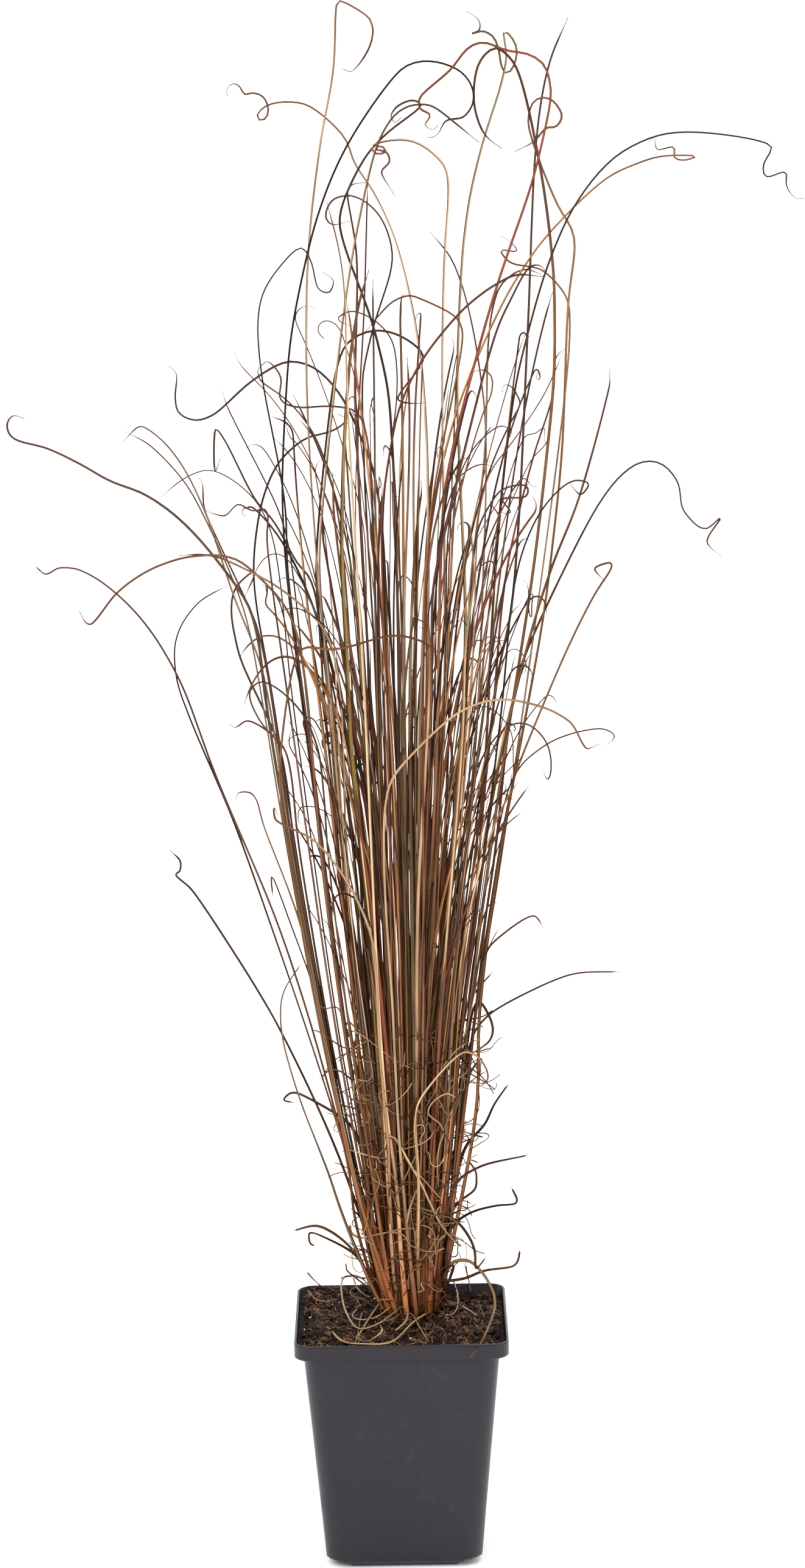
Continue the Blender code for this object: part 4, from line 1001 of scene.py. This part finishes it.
def plastic_finish():
    """Matt moulded plastic: a fine grain and faint patches of dust where two noises are both high."""
    made = Finish("pot plastic", specular=0.33)
    place = made.place()
    cloud = made.noise(place, 28, 3.0)
    dust = made.noise(place, 170, 5.0).ramp(0.56, 0.74) * cloud.ramp(0.42, 0.62)
    body = cloud.mix((0.0070, 0.0057, 0.0100, 1), (0.0114, 0.0096, 0.0148, 1))
    made.feed(Base_Color=(dust * 0.12).mix(body, (0.11, 0.095, 0.085, 1)),
              Roughness=cloud * 0.12 + dust * 0.2 + 0.34)
    made.bump(made.noise(place, 1500, 2.0), 0.22, 0.12 * MM)
    return made.material


def soil_finish():
    """Peaty mix: near-black to red-brown crumbs by two sizes of noise."""
    made = Finish("potting mix", specular=0.08)
    place = made.place()
    coarse = made.noise(place, 260, 4.0)
    fine = made.noise(place, 1100, 3.0)
    dark = fine.ramp(0.35, 0.7).mix((0.003, 0.0022, 0.002, 1), (0.022, 0.0115, 0.007, 1))
    made.feed(Base_Color=coarse.ramp(0.55, 0.72).mix(dark, (0.07, 0.033, 0.017, 1)),
              Roughness=fine * 0.3 + 0.66)
    made.bump(coarse + fine * 0.6, 0.9, 1.2 * MM)
    return made.material


def grain_finish(name, dark, pale, scale):
    """A rough mineral or bark grain in two colours."""
    made = Finish(name, specular=0.1)
    grain = made.noise(made.place(), scale, 4.0)
    made.feed(Base_Color=grain.ramp(0.38, 0.62).mix((*dark, 1), (*pale, 1)), Roughness=grain * 0.3 + 0.6)
    made.bump(grain, 0.6, 0.5 * MM)
    return made.material


def square_ring(half, radius, steps):
    """A square ring with round corners: each corner is a quarter circle about its own middle."""
    corner = np.repeat(np.arange(4), steps + 1)
    turn = corner * pi / 2 + np.tile(np.arange(steps + 1), 4) * pi / 2 / steps
    middle = pi / 4 + corner * pi / 2
    reach = (half - radius) * 2 ** 0.5
    return np.stack((reach * np.cos(middle) + radius * np.cos(turn),
                     reach * np.sin(middle) + radius * np.sin(turn)), 1)


def closed_rows(rows):
    """Faces of a stack of rings whose first ring is below, closed by one face at both ends."""
    return [face[::-1] for face in capped_tubes(1, *rows.shape[:2])]


def pot_piece(finish):
    """The pot as one skin: under the floor, up the wall, round the rim and down inside.

    Each row is a round-cornered square. The floor's height is how far the nearer of |x| and |y|
    passes the foot's half width, up to the corners' lift, and it fades up the wall.
    """
    def wall(height, inset=0.0):
        """Half the body's width at a height, by its straight taper, less the inset."""
        return (BODY_BOTTOM_WIDTH + (BODY_TOP_WIDTH - BODY_BOTTOM_WIDTH) * height / POT_HEIGHT) / 2 - inset

    top, ease, thick = POT_HEIGHT, EDGE_EASE, POT_WALL
    rim, low = RIM_WIDTH / 2, POT_HEIGHT - RIM_HEIGHT
    shelf, inner = low + RIM_WALL, RIM_WIDTH / 2 - RIM_WALL
    profile = [(wall(0) * share, BODY_RADIUS * share, 0.0) for share in np.linspace(0.02, 0.985, 40)] + [
        (wall(0) - 0.2 * ease, BODY_RADIUS, 0.2 * ease), (wall(ease), BODY_RADIUS, ease),
        *((wall(z), BODY_RADIUS, z) for z in np.linspace(4 * ease, low - 2 * ease, 12)),
        (wall(low) + 0.1 * ease, BODY_RADIUS, low - 0.6 * ease), (wall(low) + ease, BODY_RADIUS, low),
        (rim - 2 * ease, RIM_RADIUS, low), (rim - 0.7 * ease, RIM_RADIUS, low + 0.2 * ease),
        (rim, RIM_RADIUS, low + ease), (rim, RIM_RADIUS, low + 3 * ease), (rim, RIM_RADIUS, top - 3 * ease),
        (rim, RIM_RADIUS, top - 0.9 * ease), (rim - 0.25 * ease, RIM_RADIUS, top - 0.3 * ease),
        (rim - 0.8 * ease, RIM_RADIUS - 0.8 * ease, top), (inner + 0.6 * ease, RIM_RADIUS - RIM_WALL, top),
        (inner, RIM_RADIUS - RIM_WALL, top - 0.6 * ease), (inner, RIM_RADIUS - RIM_WALL, shelf + ease),
        (inner - ease, RIM_RADIUS - RIM_WALL, shelf), (wall(shelf, thick) + ease, BODY_RADIUS - thick, shelf),
        *((wall(z, thick), BODY_RADIUS - thick, z) for z in np.linspace(shelf - ease, 2 * thick, 9)),
        (wall(0, 2 * thick), BODY_RADIUS - thick, thick), (wall(0) * 0.02, BODY_RADIUS * 0.02, thick)]
    rows = []
    for half, radius, height in profile:
        ring = square_ring(half, radius, 14)
        lift = np.clip(np.abs(ring).min(1) - FOOT_HALF, 0, CORNER_LIFT) * (1 - height / POT_HEIGHT)
        rows.append(np.concatenate((ring, (height + lift)[:, None]), 1))
    rows = np.array(rows)
    return new_piece("nursery_pot", rows, closed_rows(rows), finish, ("pot",))


def lumps(x, y, seed, scale):
    """Smooth random heights: a sum of sine waves of random headings and falling size."""
    dice = np.random.default_rng(seed)
    total = np.zeros_like(x)
    for octave in range(7):
        turn, shift = dice.uniform(0, 2 * pi, 2)
        wave = scale * 1.55 ** octave
        warp = np.sin((x * np.sin(turn) + y * np.cos(turn)) * wave * 0.6 + shift) * 1.3
        total += np.sin((x * np.cos(turn) - y * np.sin(turn)) * wave + warp + shift) / 1.3 ** octave
    return total / 3


def soil_height(x, y):
    """The heaped surface of the potting mix, a little rough all over."""
    away = np.hypot((x - CROWN.x) / 42, (y - CROWN.y) / 42) / MM
    heap = SOIL_EDGE + (SOIL_TOP - SOIL_EDGE) * np.clip(1.35 - away, 0, 1)
    hollow = np.exp(-((x - 40 * MM) ** 2 + (y - 42 * MM) ** 2) / (20 * MM) ** 2)
    clod = np.exp(-((x + 42 * MM) ** 2 + (y + 22 * MM) ** 2) / (9 * MM) ** 2)
    rise = np.exp(-((x + 42 * MM) ** 2 + (y - 46 * MM) ** 2) / (42 * MM) ** 2)
    rough = 1.3 * lumps(x, y, 5, 230) + 0.9 * lumps(x, y, 6, 600)
    return heap + (rough - 3.6 * hollow + 2.4 * clod + 2.3 * rise) * MM


def soil_piece(finish):
    """A block whose top is rings of round-cornered squares, lifted to soil_height."""
    inset = POT_WALL + GAP
    shelf = POT_HEIGHT - RIM_HEIGHT + RIM_WALL + GAP
    ring = square_ring(RIM_WIDTH / 2 - RIM_WALL - GAP, RIM_RADIUS - RIM_WALL - GAP, 20)
    rows = []
    for half, height in ((BODY_BOTTOM_WIDTH / 2 - inset, CORNER_LIFT + 2 * POT_WALL),
                         (BODY_TOP_WIDTH / 2 - inset - 1.2 * MM, shelf),
                         (RIM_WIDTH / 2 - RIM_WALL - GAP, shelf)):
        flat = square_ring(half, BODY_RADIUS - inset, 20)
        rows.append(np.concatenate((flat, np.full((len(flat), 1), height)), 1))
    for share in np.linspace(1, 0.01, 110):
        x, y = (ring * share).T
        rows.append(np.stack((x, y, soil_height(x, y)), 1))
    rows = np.array(rows)
    return new_piece("soil_block", rows, closed_rows(rows), finish, ("soil",))


def scattered(name, count, sizes, squash, finish, seed, sink=0.35):
    """Many lumpy grains joined in one piece: a small ball's points, pushed about and stretched.

    sizes is the range in mm, squash the height as a share of the size, sink the share in the soil.
    """
    dice = np.random.default_rng(seed)
    turn = np.arange(GRAIN_SIDES) * 2 * pi / GRAIN_SIDES
    ball = np.stack([np.stack((s * np.cos(turn), s * np.sin(turn), np.full(GRAIN_SIDES, z)), 1)
                     for s, z in GRAIN_LEVELS])
    grain = ball.reshape(1, -1, 3)
    grain = grain * dice.uniform(0.7, 1.25, (count, grain.shape[1], 1))
    size = dice.uniform(*sizes, (count, 1))
    grain = grain * size[:, :, None] * MM / 2 * np.stack(
        (dice.uniform(0.8, 1.6, count), dice.uniform(0.6, 1.1, count), np.full(count, squash)), 1)[:, None]
    spin = dice.uniform(0, 2 * pi, count)[:, None]
    x, y = (grain[:, :, 0] * np.cos(spin) - grain[:, :, 1] * np.sin(spin),
            grain[:, :, 0] * np.sin(spin) + grain[:, :, 1] * np.cos(spin))
    reach = RIM_WIDTH / 2 - RIM_WALL - GRAIN_MARGIN
    px, py = dice.uniform(-reach, reach, (2, count, 1))
    pz = soil_height(px, py) + size * MM * squash * (0.5 - sink)
    points = np.stack((px + x, py + y, pz + grain[:, :, 2]), 2)
    faces = capped_tubes(count, len(GRAIN_LEVELS), GRAIN_SIDES)
    return new_piece(name, points, faces, finish, smooth_faces=False)


def fibres_piece(finish):
    """Short root fibres on the mix: arcs whose heading turns along them, arched up in the middle."""
    count = FIBRES
    dice = np.random.default_rng(11)
    share = np.linspace(-0.5, 0.5, FIBRE_RINGS)[None]
    length = (3 + 15 * dice.random((count, 1)) ** 2) * MM
    turn = dice.uniform(0, 2 * pi, (count, 1)) + dice.uniform(-2, 2, (count, 1)) * share
    x = dice.uniform(-FIBRE_AREA, FIBRE_AREA, (count, 1)) + length * share * np.cos(turn)
    y = dice.uniform(-FIBRE_AREA, FIBRE_AREA, (count, 1)) + length * share * np.sin(turn)
    edge = RIM_WIDTH / 2 - RIM_WALL - FIBRE_MARGIN
    x, y = np.clip(x, -edge, edge), np.clip(y, -edge, edge)
    lift = (0.9 + dice.uniform(0, 3, (count, 1)) * np.cos(share * pi) ** 2) * MM
    around = np.arange(FIBRE_SIDES) * 2 * pi / FIBRE_SIDES
    ring = np.stack((np.cos(around), np.cos(around), np.sin(around)), 1) * FIBRE_RADIUS
    points = np.stack((x, y, soil_height(x, y) + lift), 2)[:, :, None] + ring
    faces = capped_tubes(count, FIBRE_RINGS, FIBRE_SIDES)
    return new_piece("root_fibres", points, faces, finish)


def dry_line(leaf):
    """Carry a dry leaf's pixels down to level planes at its heights over the soil."""
    pixels = smooth(leaf.route)
    share = lengths_along(pixels) / lengths_along(pixels)[-1]
    height = SOIL_TOP + np.interp(share, (0, 0.5, 1), leaf.heights) * MM
    near = to_room(pixels, np.zeros(len(pixels)))
    sight = near - CAMERA_PLACE
    return CAMERA_PLACE + sight * ((height - CAMERA_PLACE[2]) / sight[:, 2])[:, None]


def draped_line(leaf):
    """Carry a leaf's pixels back to the round front of the tuft that it hangs against."""
    pixels = smooth(leaf.route)
    height = SOIL_TOP + (SOIL_ROW - pixels[:, 1]) * PIXEL
    side = (pixels[:, 0] - CROWN_COLUMN) * PIXEL
    radius = np.interp(height, FAN_HEIGHT, FAN_RADIUS) + DRAPE_GAP
    return to_room(pixels, CROWN.y - FRONT_SQUASH * np.sqrt(np.maximum(radius ** 2 - side ** 2, 0)))


def colour_row(hue, shade=1.0):
    """A hue as three rows of numbers: its low colour times the shade, its high colour, its turn."""
    return [[part * shade for part in hue.low], list(hue.high), [hue.turn, 0, 0]]


def edge_shade(leaf):
    """How dark a traced leaf's low colour is: less the nearer it stands to the fan's left or right edge."""
    return 1 - EDGE_SHADE * np.clip((abs(fan_place(leaf)) - EDGE_START) / (1 - EDGE_START), 0, 1)


def build_leaves(finish):
    """Every shoot takes its traced leaf and some of the fillers, and replaces its solid."""
    bases = planting(LEAVES)
    routes = [leaf_line(leaf, bases[leaf.name]) for leaf in LEAVES]
    routes = settle(routes, [leaf_widths(leaf, line) for leaf, line in zip(LEAVES, routes)])
    crown = sorted(bases.values())
    for leaf in EXTRA_LEAVES:
        across = CROWN.x + fan_place(leaf) * EXTRA_BASE_REACH
        base = min(crown, key=lambda b, at=across: abs(b[0] - at) + rng.random() * EXTRA_BASE_SPREAD)
        routes.append(leaf_line(leaf, base))
    followed = LEAVES + EXTRA_LEAVES
    traced = np.stack([resample(route) for route in routes])
    grown = fillers()
    lines = np.concatenate((traced, grown))
    own = np.array([leaf.width for leaf in followed]) * MM
    least = np.where(np.arange(len(own)) < len(LEAVES), LEAST_BLADE, LEAST_EXTRA)
    widths = np.concatenate((np.maximum(own * BLADE_SHARE, least), rng.choice(FILLER_WIDTHS, len(grown))))
    sheaths = np.where(np.arange(len(lines)) < len(LEAVES), SHEATH_WIDTH, FILLER_SHEATH)
    picked = rng.integers(0, len(FILLER_HUES), len(grown))
    table = np.array([colour_row(leaf.colour, edge_shade(leaf)) for leaf in followed]
                     + [colour_row(FILLER_HUES[k]) for k in picked])
    green = (rng.random(len(lines)) < GREEN_CHANCE) * GREEN_MOST
    batch = leaf_batch(lines, widths, sheaths, table, green, len(traced))
    for number in range(len(LEAVES)):
        chosen = np.arange(number, len(lines), len(LEAVES))
        node = f"shoot_{number + 1:02d}"
        leaf_piece(f"{node}_leaves", chosen, batch, finish, (node,))


def dry_piece(name, lines, widths, hues, finish, dimmest, span):
    """Leaves of one colour each, all along, whose tones run from dimmest to dimmest + span."""
    table = np.array([colour_row(hue) for hue in hues])
    batch = leaf_batch(lines, widths, widths, table, np.zeros(len(lines)))
    batch["colour"][:] = table[:, 0, None] * (dimmest + span * batch["tone"][:, None, None])
    leaf_piece(name, np.arange(len(lines)), batch, finish)


def build_dry_leaves(finish):
    """The fallen leaves on the soil, and those that hang against the front of the tuft."""
    lines = np.stack([resample(dry_line(leaf), DRY_RINGS) for leaf in DRY_LEAVES]
                     + [resample(draped_line(leaf), DRY_RINGS) for leaf in DRAPED_LEAVES])
    fallen = DRY_LEAVES + DRAPED_LEAVES
    widths = np.array([leaf.width for leaf in fallen]) * MM
    dry_piece("dry_leaves", lines, widths, [leaf.finish for leaf in fallen], finish, 0.5, 0.45)


def build_dry_curls(finish):
    """The thatch of short dry curls about the foot of the tuft, dark with a few golden ones."""
    hues = [CURL_HUES[k] for k in rng.integers(0, len(CURL_HUES), SHREDS)]
    widths = rng.uniform(0.45, 1.15, SHREDS) * MM
    dry_piece("dry_curls", shred_lines(SHREDS), widths, hues, finish, 0.28, 0.85)


def add_light(name, place, aim, size, power):
    """A square soft light that faces a point."""
    lamp = bpy.data.lights.new(name, "AREA")
    lamp.size = size
    lamp.energy = power
    made = bpy.data.objects.new(name, lamp)
    made.location = place
    made.rotation_euler = (Vector(aim) - Vector(place)).to_track_quat("-Z", "Y").to_euler()
    bpy.context.scene.collection.objects.link(made)


def build_stage():
    """A pale floor, a studio that is bright behind and overhead, and the photograph's camera."""
    bpy.ops.mesh.primitive_plane_add(size=FLOOR_SIZE)
    floor = bpy.context.object
    floor.name = "floor"
    paper = Finish("pale floor", 0.9, 0.1)
    paper.shader.inputs["Base Color"].default_value = (0.99, 0.99, 0.99, 1)
    floor.data.materials.append(paper.material)
    world = bpy.data.worlds.new("studio")
    world.use_nodes = True
    tree = world.node_tree
    ways = tree.nodes.new("ShaderNodeSeparateXYZ")
    tree.links.new(tree.nodes.new("ShaderNodeTexCoord").outputs["Generated"], ways.inputs[0])
    front = tree.nodes.new("ShaderNodeMapRange")
    front.inputs["From Min"].default_value, front.inputs["From Max"].default_value = -1, -0.15
    front.inputs["To Min"].default_value, front.inputs["To Max"].default_value = 0.5, 1.03
    tree.links.new(ways.outputs["Y"], front.inputs["Value"])
    total = tree.nodes.new("ShaderNodeMath")
    total.operation = "MULTIPLY_ADD"
    total.inputs[1].default_value = 0.75
    tree.links.new(ways.outputs["Z"], total.inputs[0])
    tree.links.new(front.outputs["Result"], total.inputs[2])
    tree.links.new(total.outputs[0], tree.nodes["Background"].inputs["Strength"])
    tree.nodes["Background"].inputs["Color"].default_value = (1, 1, 1, 1)
    bpy.context.scene.world = world
    middle = (0, 0, 0.4)
    add_light("key", (-1.3, -1.9, 1.9), middle, 1.2, 38)
    add_light("fill", (1.8, -1.4, 0.9), middle, 1.4, 16)
    add_light("back", (0.5, 1.9, 1.6), middle, 1.2, 20)
    lens = bpy.data.cameras.new("photo_camera")
    lens.sensor_width = 36
    lens.lens = FOCAL_PIXELS / PHOTO_HEIGHT * lens.sensor_width
    camera = bpy.data.objects.new("photo_camera", lens)
    camera.matrix_world = (
        Matrix.Translation(CAMERA_PLACE) @ Matrix.Rotation(pi / 2 - CAMERA_PITCH, 4, "X")
        @ Matrix.Rotation(-CAMERA_ROLL, 4, "Z"))
    bpy.context.scene.collection.objects.link(camera)
    bpy.context.scene.camera = camera
    bpy.context.scene.view_settings.view_transform = "Standard"


build_stage()
leaf_look = leaf_finish()
build_leaves(leaf_look)
build_dry_leaves(leaf_look)
build_dry_curls(leaf_look)
pot_piece(plastic_finish())
soil_piece(soil_finish())
crumb = grain_finish("crumbs", (0.003, 0.0022, 0.002), (0.032, 0.016, 0.0095), 900)
scattered("soil_crumbs", 1500, (0.8, 4.2), 0.8, crumb, 21)
scattered("soil_clods", 70, (5, 9), 0.45, crumb, 24, 0.5)
bark = grain_finish("bark bits", (0.03, 0.013, 0.008), (0.15, 0.062, 0.03), 500)
scattered("bark_bits", 70, (2.5, 6.5), 0.5, bark, 22)
perlite = grain_finish("perlite", (0.6, 0.58, 0.55), (0.92, 0.91, 0.89), 1200)
scattered("perlite_grains", 170, (0.3, 1.2), 0.9, perlite, 23)
fibres_piece(grain_finish("root fibre", (0.04, 0.022, 0.013), (0.34, 0.19, 0.10), 260))
